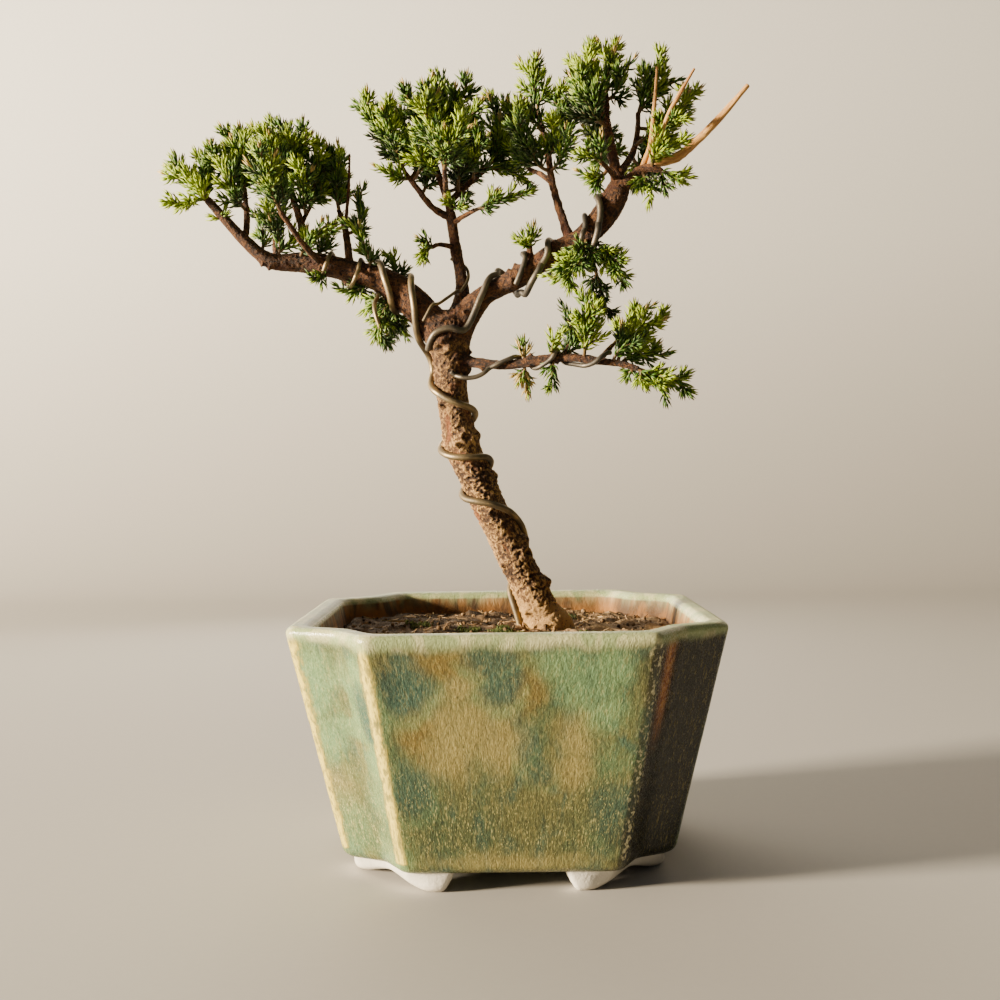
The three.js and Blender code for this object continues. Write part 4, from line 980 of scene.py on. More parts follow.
@dataclass(frozen=True)
class Glaze:
    """Ash glaze: olive green, run over by teal, amber, sand and mint, with cream edges; painted light and
    shade in it: a reflection, glints, highlights on the left edges and shade on the right-hand facets.
    """

    green: Colour = (0.066, 0.11, 0.048)
    olive: Colour = (0.13, 0.13, 0.044)
    teal: Colour = (0.042, 0.1, 0.074)
    amber: Colour = (0.2, 0.13, 0.025)
    sand: Colour = (0.32, 0.26, 0.085)
    mint: Colour = (0.2, 0.335, 0.145)
    cream: Colour = (0.74, 0.6, 0.1)
    # near black of the dark patches and of the painted shade
    dark: Colour = (0.01, 0.01, 0.005)
    # the painted reflection in the hollow right of the front runs from this red-brown to the ochre below
    reflection_red: Colour = (0.3, 0.1, 0.03)
    clay: Colour = (0.06, 0.027, 0.008)
    fleck: Colour = (0.62, 0.56, 0.22)
    deep: Colour = (0.06, 0.076, 0.032)
    reflection_ochre: Colour = (0.62, 0.3, 0.1)
    bronze: Colour = (0.3, 0.24, 0.05)
    # colour of the painted glints
    spark: Colour = (0.8, 0.72, 0.4)
    lip_green: Colour = (0.36, 0.43, 0.2)
    lip_sand: Colour = (0.6, 0.58, 0.3)
    ember: Colour = (0.25, 0.105, 0.018)

    def material(self) -> bpy.types.Material:
        """Builds the glaze from the patches stored on the mesh and fine streaks and flecks.

        Returns:
            The finished material.
        """
        paint = Paint("ash_glaze", 0.2, IOR=1.5)
        flow = paint.attribute("flow", vector=True)
        cloud = paint.noise(paint.place((0.05, 0.05, 0.035), flow), 4, 0.7)
        drift = paint.noise(paint.place((0.12, 0.12, 0.07), flow), 5, 0.9)
        streak = paint.noise(paint.place((1.1, 1.1, 0.36), flow), 5, 0.5)
        mottle = paint.noise(paint.place((0.8, 0.8, 0.4), flow), 5, 0.4)
        grain = paint.noise(paint.place((2.3, 2.3, 1.2), flow), 4)
        low, lip = paint.attribute("low"), paint.attribute("lip")
        colour = paint.mix(paint.ramp(cloud, 0.36, 0.62), self.green, self.olive)
        colour = paint.mix(paint.ramp(drift, 0.46, 0.68, 0.0, 0.8), colour, self.teal)
        for patch, tone, most in (
            (Patch.TAN, self.sand, 0.85), (Patch.AMBER, self.amber, 0.8), (Patch.PALE, self.mint, 0.75),
            (Patch.SHORE, self.mint, 0.4), (Patch.TEAL, self.teal, 0.92),
        ):
            colour = paint.mix(self._share(paint, patch, mottle, most), colour, tone)
        colour = paint.mix(paint.times(low, 0.42), colour, self.deep)
        # dark patches, with painted shade on the facets right of the front and in the hollows on the left
        colour = paint.mix(self._share(paint, Patch.DARK, mottle, 0.97), colour, self.dark)
        colour = paint.mix(paint.ramp(streak, 0.52, 0.7, 0.0, 0.3), colour, self.sand)
        fine = paint.times(paint.ramp(streak, 0.32, 0.6, 0.74, 1.0), paint.ramp(grain, 0.3, 0.66, 0.7, 1.0))
        colour = paint.mix(1.0, colour, paint.mix(fine, BLACK, (1.16, 1.16, 1.16)), "MULTIPLY")
        colour = self._flecks(paint, flow, colour, low)
        # painted reflection: a red-brown streak where the glossy glaze in the hollow right of the front
        # mirrors warm light
        reflection_tone = paint.mix(paint.ramp(streak, 0.45, 0.6), self.reflection_red, self.reflection_ochre)
        colour = paint.mix(paint.attribute("fold"), colour, reflection_tone)
        # cream edges, which the skin keeps to the left half: partly glaze thinning over the edges, partly a
        # painted highlight
        edge = paint.times(paint.attribute("edge"), paint.ramp(mottle, 0.3, 0.62, 0.4, 1.25))
        colour = paint.mix(paint.ramp(edge, 0.05, 0.4, 0.0, 0.85), colour, self.bronze)
        colour = paint.mix(paint.ramp(edge, 0.26, 0.9, 0.0, 0.92), colour, self.cream)
        # painted glints: pale specks on the edges of the right half, which lie in shade
        dots = paint.noise(paint.place((0.75, 0.75, 0.6), flow), 4)
        spark = paint.times(paint.attribute("spark"), paint.ramp(dots, 0.52, 0.62))
        colour = paint.mix(spark, colour, self.spark)
        pale = paint.mix(paint.ramp(drift, 0.42, 0.6), self.lip_green, self.lip_sand)
        pale = paint.mix(paint.ramp(grain, 0.55, 0.35, 0.0, 0.3), pale, self.green)
        colour = paint.mix(paint.ramp(lip, 0.05, 0.95, 0.0, 0.9), colour, pale)
        inner = paint.attribute("inner")
        wall = paint.mix(paint.ramp(drift, 0.35, 0.65), self.clay, self.ember)
        colour = paint.mix(inner, colour, wall)
        relief = paint.plus(paint.times(grain, 0.6), mottle)
        rough = paint.plus(paint.ramp(grain, 0.3, 0.7, 0.13, 0.32), paint.times(inner, 0.6))
        rough = paint.plus(rough, paint.times(paint.attribute("top"), 0.25))
        return paint.finish(colour, rough, relief, 0.00024)

    def _share(self, paint: Paint, patch: Patch, rough: object, most: float) -> Socket:
        """How much of a patch's colour lies at a point, with a soft and slightly ragged edge.

        Args:
            paint: the material.
            patch: the kind of patch.
            rough: noise that frays the edge.
            most: share in the middle of the patch.

        Returns:
            The share.
        """
        uneven = paint.plus(paint.times(rough, 1.1), 0.4)
        return paint.ramp(paint.times(paint.attribute(patch.value), uneven), 0.04, 0.95, 0.0, most)

    def _flecks(self, paint: Paint, flow: object, colour: object, low: object) -> Socket:
        """Adds slim golden crystals, a few everywhere and many low on the walls.

        Args:
            paint: the material.
            flow: coordinates that follow the walls.
            colour: the glaze so far.
            low: how low on the walls a point lies.

        Returns:
            The glaze with them.
        """
        for scale, share in (((1.0, 1.0, 0.4), 0.45), ((1.7, 1.7, 0.8), 0.55)):
            near = paint.cells(paint.place(scale, flow))
            spread = paint.noise(paint.place(tuple(0.23 * s for s in scale), flow), 3)
            gate = paint.times(paint.ramp(spread, 0.42, 0.62, 0.12, 1.0), paint.plus(low, 0.4))
            gate = paint.times(gate, paint.ramp(paint.attribute("dark"), 0.1, 0.5, 1.0, 0.25))
            fleck = paint.times(paint.ramp(near, 0.36, 0.1), paint.step("MINIMUM", gate, 1.0))
            colour = paint.mix(paint.times(fleck, share), colour, self.fleck)
        return colour


@dataclass(frozen=True)
class Porcelain:
    """Bare white fired clay, slightly stained where it stands."""

    white: Colour = (0.74, 0.7, 0.6)
    stain: Colour = (0.5, 0.44, 0.34)

    def material(self) -> bpy.types.Material:
        """Builds the clay, darker in its lowest millimetres.

        Returns:
            The finished material.
        """
        paint = Paint("bare_porcelain", 0.42)
        grain = paint.noise(paint.place((900, 900, 900)), 4)
        cloud = paint.noise(paint.place((90, 90, 130)), 4)
        foot = paint.times(paint.height(0.003, 0.0), paint.ramp(cloud, 0.35, 0.65))
        colour = paint.mix(paint.times(foot, 0.7), self.white, self.stain)
        colour = paint.mix(paint.ramp(cloud, 0.4, 0.7, 0.0, 0.25), colour, self.stain)
        return paint.finish(colour, paint.ramp(grain, 0.3, 0.7, 0.34, 0.55), grain, 0.0002)


@dataclass(frozen=True)
class PotBody:
    """The square pot: eight flat outer corners, four corners pushed in, thick glazed walls."""

    foot_height: float = 6.6
    height: float = 88.0
    half: tuple[float, float] = (57.2, 75.0)
    face: tuple[float, float] = (37.0, 48.75)
    hollow: tuple[float, float] = (43.8, 58.4)
    wall: float = 8.5
    floor_thickness: float = 8.0
    rim_round: float = 2.9
    base_round: float = 3.4
    corner_radius: float = 4.6
    hollow_radius: float = 9.0
    drain_radius: float = 8.0
    arc_points: int = 9
    facet_points: int = 13
    face_points: int = 57
    outer_rows: tuple[int, int] = (11, 95)  # rows of the profile: the outer wall and the rim's outer round
    crest_rows: tuple[int, int] = (92, 102)  # the top of the rim
    inner_row: int = 98  # the first row inside the pot
    lip_heights: tuple[float, float] = (80.5, 87.2)  # where the rim's pale band begins and is full
    fold_place: tuple[float, float] = (54.0, -66.5)  # the painted reflection: a red-brown streak in the hollow right of the front, at the rim
    # Patches on the front: kind, x and z of the middle, reach across, reach up, and strength.
    front_patches: tuple[tuple[Patch, float, float, float, float, float], ...] = (
        (Patch.TAN, -14, 57, 17, 14, 1), (Patch.TAN, -20, 49, 13, 10, 1), (Patch.TAN, -16, 70, 7, 7, 1),
        (Patch.TAN, -3, 51, 9, 11, 1), (Patch.TAN, 22, 54, 6, 10, 1), (Patch.TAN, 21, 43, 7, 7, 1),
        (Patch.TAN, 0, 11, 34, 4, 0.75), (Patch.AMBER, -20, 79, 11, 5, 1), (Patch.AMBER, 8, 69, 6, 7, 1),
        (Patch.AMBER, -31, 57, 6, 8, 1), (Patch.TEAL, -5, 81, 11, 7, 0.75), (Patch.TEAL, -1, 73, 8, 11, 0.8),
        (Patch.TEAL, -34, 71, 10, 12, 1), (Patch.TEAL, 5, 53, 5, 11, 0.55), (Patch.TEAL, 11, 44, 5, 7, 0.6),
        (Patch.PALE, 17, 78, 8, 6, 1), (Patch.PALE, 25, 71, 9, 10, 1), (Patch.PALE, 33, 77, 8, 6, 1),
        (Patch.PALE, 30, 62, 7, 8, 1), (Patch.DARK, -40, 74, 5, 11, 0.5), (Patch.TEAL, -33, 36, 8, 11, 0.85),
        (Patch.DARK, -36, 33, 4, 9, 0.25), (Patch.TEAL, 33, 28, 8, 13, 0.8),
        (Patch.AMBER, 24, 59, 4, 5, 0.4), (Patch.PALE, 34, 46, 6, 9, 0.5),
        (Patch.TEAL, 27, 70, 5, 8, 0.4), (Patch.DARK, -33, 68, 6, 8, 0.12),
    )

    def share(self, z: Array) -> Array:
        """How far up the body each height lies, from 0 at its underside to 1 at the rim."""
        return (z - self.foot_height) / (self.height - self.foot_height)

    def corners(self, z: Array, inset: Array) -> Array:
        """The twelve corners of the outline at each height, pushed in by each inset.

        Half the width, half the flat face and the hollow's place run straight from the base
        to the rim. The two slanted sides of a hollow move inwards with the rest and meet on
        the diagonal. The three corners of one quarter are repeated by quarter turns.

        Args:
            z: heights.
            inset: how far the outline is pushed in at each of them.

        Returns:
            Corners, shaped (heights, 12, 2).
        """
        part = self.share(z)
        half, face, hollow = (low + (high - low) * part for low, high in (self.half, self.face, self.hollow))
        slant = unit(np.stack([hollow - face, hollow - half], axis=-1))
        point = np.stack([face, half], axis=-1)
        point = point - inset[:, None] * np.stack([-slant[:, 1], slant[:, 0]], axis=-1)
        corner = point[:, 0] + slant[:, 0] * (half - inset - point[:, 1]) / slant[:, 1]
        meet = point[:, 0] + slant[:, 0] * (point[:, 1] - point[:, 0]) / (slant[:, 0] - slant[:, 1])
        pairs = ((corner, half - inset), (meet, meet), (half - inset, corner))
        quarter = np.stack([np.stack(pair, -1) for pair in pairs], axis=1)
        x, y = quarter[..., 0], quarter[..., 1]
        turned = [np.stack(pair, -1) for pair in ((x, y), (y, -x), (-x, -y), (-y, x))]
        return np.concatenate(turned, axis=1)

    def outline(self, z: Array, inset: Array) -> Array:
        """Rings of the body: the corners, each rounded by an arc, joined by straight sides.

        The rings run counter-clockwise seen from above, ready for an outward skin.

        Args:
            z: heights.
            inset: how far each ring is pushed in.

        Returns:
            Rings of points, shaped (heights, points, 3).
        """
        corners = self.corners(z, inset)
        rounding = self.corner_radius + 0.45 * inset[:, None, None]
        radii = np.where(np.arange(12)[None, :, None] % 3 == 1, self.hollow_radius, rounding)
        before = unit(np.roll(corners, 1, axis=1) - corners)
        after = unit(np.roll(corners, -1, axis=1) - corners)
        half_angle = np.arccos(np.clip(dot(before, after), -1, 1)) / 2
        middle = corners + unit(before + after) * radii / np.sin(half_angle)
        start = (corners + before * radii / np.tan(half_angle) - middle) / radii
        end = (corners + after * radii / np.tan(half_angle) - middle) / radii
        bend = math.pi - 2 * half_angle
        t = np.linspace(0, 1, self.arc_points)[None, None, :, None]
        bend = bend[..., None, :]
        arc = (np.sin((1 - t) * bend) * start[:, :, None] + np.sin(t * bend) * end[:, :, None]) / np.sin(bend)
        arc = middle[:, :, None] + radii[:, :, None] * arc
        following = np.roll(arc, -1, axis=1)[:, :, 0]
        parts = []
        for i in range(12):
            count = self.face_points if i % 3 == 2 else self.facet_points
            s = (np.arange(1, count + 1) / (count + 1))[None, :, None]
            straight = arc[:, i, -1][:, None] * (1 - s) + following[:, i][:, None] * s
            parts.extend([arc[:, i], straight])
        ring = np.concatenate(parts, axis=1)[:, ::-1]
        height = np.broadcast_to(z[:, None, None], ring.shape[:2] + (1,))
        return np.concatenate([ring, height], axis=-1)

    def profile(self) -> tuple[Array, Array, Array]:
        """Works out the closed section of the wall and the floor.

        It runs from the drain hole up the outside, over the rounded rim, down the inside and
        along the floor.

        Returns:
            Height, inset and share of the drain hole for each row of points.
        """
        top, wall = self.height, self.wall
        floor = self.foot_height + self.floor_thickness
        turn = np.linspace(0, math.pi / 2, 7)
        rise, fall = np.sin(turn), 1 - np.cos(turn)
        base, rim = self.base_round, self.rim_round
        inner = base * 0.7
        outside = np.linspace(self.foot_height + base, top - rim, 78)[1:-1]
        inside = np.linspace(top - rim, floor + inner, 16)[1:-1]
        z = np.concatenate([
            np.full(4, self.foot_height), self.foot_height + base * fall, outside,
            top - rim + rim * rise, np.full(4, top), (top - rim + rim * rise)[::-1], inside,
            (floor + inner * fall)[::-1], np.full(4, floor),
        ])
        inset = np.concatenate([
            np.full(4, base), base * (1 - rise), np.zeros(76),
            rim * fall, np.linspace(rim, wall - rim, 6)[1:-1], (wall - rim * fall)[::-1], np.full(14, wall),
            (wall + inner * (1 - rise))[::-1], np.full(4, wall + inner),
        ])
        hole = np.zeros(len(z))
        hole[:4] = (1.0, 0.7, 0.35, 0.05)
        hole[-4:] = (0.05, 0.35, 0.7, 1.0)
        return z, inset, hole

    def patches(self) -> list[tuple[Patch, Array, Array, float]]:
        """All patches: the front's own, varied ones on the other faces and seeded ones on the facets.

        Returns:
            Kind, middle, sizes and strength of each.
        """
        found = []
        random = np.random.default_rng(31)
        for quarter in range(4):
            for kind, x, z, wide, high, strength in self.front_patches:
                if quarter:
                    x, z = -x + random.uniform(-9, 9), z + random.uniform(-11, 11)
                    wide, high = wide * random.uniform(0.7, 1.3), high * random.uniform(0.7, 1.3)
                away = 57.3 + 17.7 * self.share(z)
                turn = quarter * math.pi / 2
                c, s = math.cos(turn), math.sin(turn)
                middle = [x * c + away * s, x * s - away * c, z]
                found.append((kind, np.array(middle), np.array([wide, wide, high]), strength))
        for side in range(8):
            turn = math.pi / 4 * (1 + 2 * (side // 2)) + (0.14 if side % 2 else -0.14)
            kinds = (Patch.PALE, Patch.TEAL, Patch.TAN, Patch.PALE)
            # the facets on the right, away from the lamp, get dark patches and the left ones pale and sand
            # ones: partly glaze colour, partly painted shade and light
            if math.sin(turn) > 0:
                kinds = (Patch.DARK, Patch.TEAL, Patch.DARK, Patch.AMBER)
            for z in (18.0, 33.0, 48.0, 63.0, 78.0):
                kind = kinds[random.integers(4)]
                reach = (84 if kind is Patch.PALE else 86) * (0.78 + 0.22 * self.share(z))
                spot = [reach * math.sin(turn), -reach * math.cos(turn), z + random.uniform(-6, 6)]
                size = random.uniform(5, 10)
                found.append((kind, np.array(spot), np.array([size, size, size * 1.4]), 1.0))
        return found

    def skin(self) -> tuple[Skin, Array]:
        """Builds the body, with patches, edges, painted glints and the painted reflection stored on it.

        Returns:
            The skin, and the coordinates that the glaze follows, which widen with the walls.
        """
        z, inset, hole = self.profile()
        rings = self.outline(z, inset)
        flat = unit(rings[..., :2]) * self.drain_radius
        rings[..., :2] += (flat - rings[..., :2]) * hole[:, None, None]
        reference = self.outline(np.array([self.height]), np.array([0.0]))[0]
        corners = self.corners(np.array([self.height]), np.array([0.0]))[0]
        gap = np.linalg.norm(reference[:, None, :2] - corners[None], axis=-1)
        outer = gap[:, np.arange(12) % 3 != 1].min(axis=1)
        inward = gap[:, np.arange(12) % 3 == 1].min(axis=1)
        facet = np.abs(reference[:, :2]).min(axis=1) > self.face[1] + 0.2
        low_share = self.half[0] / self.half[1]
        tilt = low_share + (1 - low_share) * self.share(rings[..., 2])
        flow = rings.copy()
        flow[..., :2] /= tilt[..., None]
        wander = cloud_noise(flow * 0.11, 3, 5)
        ragged = cloud_noise(flow * 0.45, 3, 9)
        rows = np.arange(len(z))
        outside = ((rows >= self.outer_rows[0]) & (rows < self.outer_rows[1]))[:, None]
        edge = np.exp(-((outer / (np.where(facet, 3.4, 1.9) * (0.6 + 0.8 * wander))) ** 2))
        # the left half faces the key lamp
        lit = smooth_step(30, -30, rings[..., 0])
        seen = smooth_step(-60, -66, flow[..., 1])
        # painted glints on the front's right-hand edges, which lie in shade
        spark = edge * outside * (1 - lit) * seen
        # cream edges only on the left half: partly glaze thinning over the edges, partly a painted highlight
        # where the lamp falls
        edge = edge * outside * lit * (0.35 + 1.25 * ragged)
        base = np.exp(-(((rings[..., 2] - 7.6) / 1.8) ** 2)) * (0.1 + 0.7 * ragged) * outside
        edge = np.maximum(edge, base)
        lip = smooth_step(*self.lip_heights, rings[..., 2] - 4.0 * (wander - 0.5))
        values = {patch: np.zeros(tilt.shape) for patch in Patch}
        drift = np.stack([cloud_noise(flow * 0.13, 3, 40 + i) for i in range(3)], axis=-1) - 0.5
        spot = rings + 7 * drift
        for kind, middle, size, strength in self.patches():
            far = np.linalg.norm((spot - middle) / size, axis=-1)
            if kind is Patch.TEAL:
                under = smooth_step(0.5, -0.7, (spot[..., 2] - middle[2]) / size[2])
                rim = strength * np.exp(-(((far - 1.05) / 0.26) ** 2)) * under * (0.3 + 1.2 * ragged)
                values[Patch.SHORE] = np.maximum(values[Patch.SHORE], rim)
                here = smooth_step(1.3, 0.45, far) * (0.8 + 0.2 * under)
            else:
                here = np.exp(-0.8 * far * far)
            values[kind] = np.maximum(values[kind], strength * here)
        # painted light: the left facets, which face the key lamp, are paler and sandier; partly glaze colour
        side = np.exp(-((inward / 17.0) ** 2)) * smooth_step(20, 60, rings[..., 2])
        on_left = rings[..., 0] < 0
        pale = side * on_left * smooth_step(0.3, 0.55, wander) * smooth_step(90, 66, rings[..., 2])
        # painted shade: the facets right of the front are darkened
        right = smooth_step(48.5, 51.0, flow[..., 0]) * smooth_step(-47.0, -50.0, flow[..., 1])
        values[Patch.DARK] = np.maximum(values[Patch.DARK], right * (0.8 + 0.5 * wander))
        values[Patch.PALE] = np.maximum(values[Patch.PALE], 0.9 * pale)
        values[Patch.TAN] = np.maximum(values[Patch.TAN], 0.3 * side * on_left)
        # painted shadow in the hollows on the left, off the flat front
        shadow = (0.12 + 0.3 * ragged) * side * on_left * (1 - seen * ~facet)
        values[Patch.DARK] = np.maximum(values[Patch.DARK], shadow)
        low = smooth_step(50, 22, rings[..., 2]) * smooth_step(8, 18, rings[..., 2]) * outside
        # painted reflection: a red-brown streak in the hollow right of the front, fading downwards from the
        # rim
        fold = np.exp(-(np.sum((flow[..., :2] - np.array(self.fold_place)) ** 2, axis=-1) / 16.0))
        fold = fold * smooth_step(44, 66, rings[..., 2]) * outside
        inner = (rows >= self.inner_row)[:, None]
        inner = inner * smooth_step(86.2, 84.6, rings[..., 2] + 1.2 * (ragged - 0.5))
        crest = (rows >= self.crest_rows[0]) & (rows < self.crest_rows[1])
        top = np.broadcast_to(crest[:, None], tilt.shape).astype(float)
        across = unit(np.roll(rings, -1, axis=1) - np.roll(rings, 1, axis=1))
        along = unit(np.roll(rings, -1, axis=0) - np.roll(rings, 1, axis=0))
        normal = unit(np.cross(across, along))
        thick = 0.16 * (wander - 0.55) + 0.3 * edge * (ragged - 0.55) - 0.12 * (1 - ragged)
        keep = smooth_step(-0.5, 3, rings[..., 2] - self.foot_height - 1.5)
        rings = rings + normal * (np.minimum(thick, 0.0) * keep)[..., None]
        corner = np.array([-self.face[1], -self.half[1]])
        rings[..., 0] += 2.2 * np.exp(-np.sum((flow[..., :2] - corner) ** 2, axis=-1) / 500) * tilt
        # painted light and shade: on top of the rim the pale band is weaker towards the left, so the rim's
        # top is darker on the left and lighter on the right
        lip = lip * np.where(top > 0, 0.5 + 0.5 * smooth_step(-60, 0, rings[..., 0]), 1.0)
        names = ("edge", "lip", "low", "fold", "inner", "top", "spark", *(patch.value for patch in Patch))
        skin = Skin("pot_body", names)
        skin.add(
            rings, [grid_faces(*rings.shape[:2], comes_back=True)], edge=edge, lip=lip, low=low,
            fold=fold, inner=inner, top=top, spark=spark, **{patch.value: values[patch] for patch in Patch},
        )
        return skin, flow.reshape(-1, 3)

    def make(self, finish: Glaze) -> bpy.types.Object:
        """Makes the pot's body.

        Args:
            finish: the glaze.

        Returns:
            The piece.
        """
        skin, flow = self.skin()
        piece = skin.make()
        set_value(piece.data, "flow", flow)
        dress(piece, finish.material(), "glaze", "pot")
        return piece


Outline = tuple[tuple[float, float], ...]


@dataclass(frozen=True)
class PotFeet:
    """Four bare corner feet: rounded wedges carried round each corner from arm to arm."""

    ground_outer: Outline = ((21.4, 54.6), (26.5, 54.6), (30.5, 52.5), (38.2, 45))
    ground_inner: Outline = ((21.4, 48.5), (26, 47), (31, 39.5))
    body_outer: Outline = ((16.8, 55.2), (32.5, 55.2), (36, 52.5), (39.8, 44.6))
    body_inner: Outline = ((16.8, 46), (26.5, 44.5), (30.5, 36))
    middles: Colour = (41.4, 34.5, 41.6)
    inner_middle: float = 31.0
    top: float = 9.0
    bend: float = 2.4
    stations: int = 72

    def edge_line(self, half: Outline, middle: float) -> Array:
        """A whole edge from arm to arm: half of it, the point on the diagonal, and its mirror.

        Args:
            half: points of the half, from its arm on.
            middle: both coordinates of the point on the diagonal.

        Returns:
            Points at the stations, which stand closer towards the ends.
        """
        half = np.array(half, float)
        whole = np.vstack([half, [middle, middle], half[::-1, ::-1]])
        fine = smooth_rows(whole, 12)
        gaps = np.linalg.norm(np.diff(fine, axis=0), axis=1)
        along = np.concatenate([[0], np.cumsum(gaps)]) / gaps.sum()
        places = (1 - np.cos(np.linspace(0, math.pi, self.stations))) / 2
        places = 0.5 * places + 0.5 * np.linspace(0, 1, self.stations)
        return np.stack([np.interp(places, along, fine[:, i]) for i in range(2)], axis=1)

    def section(self) -> tuple[Array, Array]:
        """The section's ring: share from outer to inner edge, and height, rounded at the floor.

        Returns:
            Share and height of each point of the ring.
        """
        turn = np.linspace(0, math.pi / 2, 7)
        down = np.linspace(self.top, self.bend, 9)[:-1]
        w = np.concatenate([np.zeros(8), 0.3 * (1 - np.cos(turn)), np.linspace(0.3, 0.7, 6)[1:-1]])
        z = np.concatenate([down, self.bend * (1 - np.sin(turn)), np.zeros(4)])
        w = np.concatenate([w, 1 - w[:-4][::-1], np.linspace(1, 0, 6)[1:-1]])
        z = np.concatenate([z, z[:-4][::-1], np.full(4, self.top)])
        return w, z

    def make(self, finish: Porcelain) -> bpy.types.Object:
        """Makes the four feet as one piece.

        Args:
            finish: the bare clay.

        Returns:
            The piece.
        """
        lines = [
            self.edge_line(self.ground_outer, self.middles[0]),
            self.edge_line(self.ground_inner, self.middles[1]),
            self.edge_line(self.body_outer, self.middles[2]),
            self.edge_line(self.body_inner, self.inner_middle),
        ]
        w, z = self.section()
        t = np.linspace(0, 1, self.stations)[:, None]
        closing = np.minimum(t, 1 - t) / 0.07
        close = np.sqrt(np.clip(1 - (1 - np.clip(closing, 0, 1)) ** 2, 0.02, 1))
        up = (z / self.top)[None, :, None]
        outer = lines[0][:, None] * (1 - up) + lines[2][:, None] * up
        inner = lines[1][:, None] * (1 - up) + lines[3][:, None] * up
        share = (0.5 + (w[None, :] - 0.5) * close)[..., None]
        plan = outer * (1 - share) + inner * share
        height = np.maximum(z[None, :], (1 - close) * 2.4)
        arch = 3.3 * np.exp(-(((t - 0.5) / 0.17) ** 2))
        height = height + arch * (1 - height / self.top)
        foot = np.concatenate([plan, height[..., None]], axis=-1)
        skin = Skin("pot_feet")
        for c, s in ((1, 0), (0, 1), (-1, 0), (0, -1)):
            x = c * foot[..., 0] - s * foot[..., 1]
            y = s * foot[..., 0] + c * foot[..., 1]
            skin.add(np.stack([x, y, foot[..., 2]], -1), tube_faces(self.stations, len(w)))
        piece = skin.make()
        dress(piece, finish.material(), "", "pot")
        return piece


# Soil


@dataclass(frozen=True)
class Earth:
    """Dark bonsai soil: brown grains, some of them sandy or grey."""

    dark: Colour = (0.06, 0.034, 0.014)
    brown: Colour = (0.22, 0.125, 0.052)
    sand: Colour = (0.38, 0.24, 0.11)

    def material(self) -> bpy.types.Material:
        """Builds the soil from the shade stored on each lump and fine grit.

        Returns:
            The finished material.
        """
        paint = Paint("dark_soil", 0.95)
        shade = paint.attribute("shade")
        grit = paint.noise(paint.place((1400, 1400, 1400)), 4)
        lumps = paint.noise(paint.place((260, 260, 260)), 4)
        colour = paint.mix(paint.ramp(shade, 0.0, 0.75), self.dark, self.brown)
        colour = paint.mix(paint.ramp(shade, 0.75, 1.0), colour, self.sand)
        colour = paint.mix(paint.ramp(lumps, 0.55, 0.35, 0.0, 0.6), colour, self.dark)
        colour = paint.mix(paint.ramp(grit, 0.55, 0.75, 0.0, 0.4), colour, self.sand)
        relief = paint.plus(grit, paint.times(lumps, 2.0))
        return paint.finish(colour, None, relief, 0.0008)


@dataclass(frozen=True)
class Straw:
    """Dry straw and fallen needles."""

    pale: Colour = (0.52, 0.38, 0.18)
    brown: Colour = (0.26, 0.14, 0.055)

    def material(self) -> bpy.types.Material:
        """Builds the straw, from pale to brown by the shade stored on each bit.

        Returns:
            The finished material.
        """
        paint = Paint("dry_straw", 0.7)
        fibre = paint.noise(paint.place((900, 900, 900)), 3)
        colour = paint.mix(paint.attribute("shade"), self.pale, self.brown)
        colour = paint.mix(paint.ramp(fibre, 0.4, 0.7, 0.0, 0.5), colour, self.brown)
        return paint.finish(colour, None, fibre, 0.0002)


@dataclass(frozen=True)
class Moss:
    """Small cushions of green moss."""

    deep: Colour = (0.03, 0.05, 0.012)
    fresh: Colour = (0.13, 0.16, 0.035)

    def material(self) -> bpy.types.Material:
        """Builds the moss, fresher towards the tips.

        Returns:
            The finished material.
        """
        paint = Paint("green_moss", 0.8)
        tuft = paint.noise(paint.place((700, 700, 700)), 4)
        share = paint.times(paint.attribute("shade"), paint.ramp(tuft, 0.3, 0.6, 0.5, 1.2))
        return paint.finish(paint.mix(share, self.deep, self.fresh), None, tuft, 0.0003)


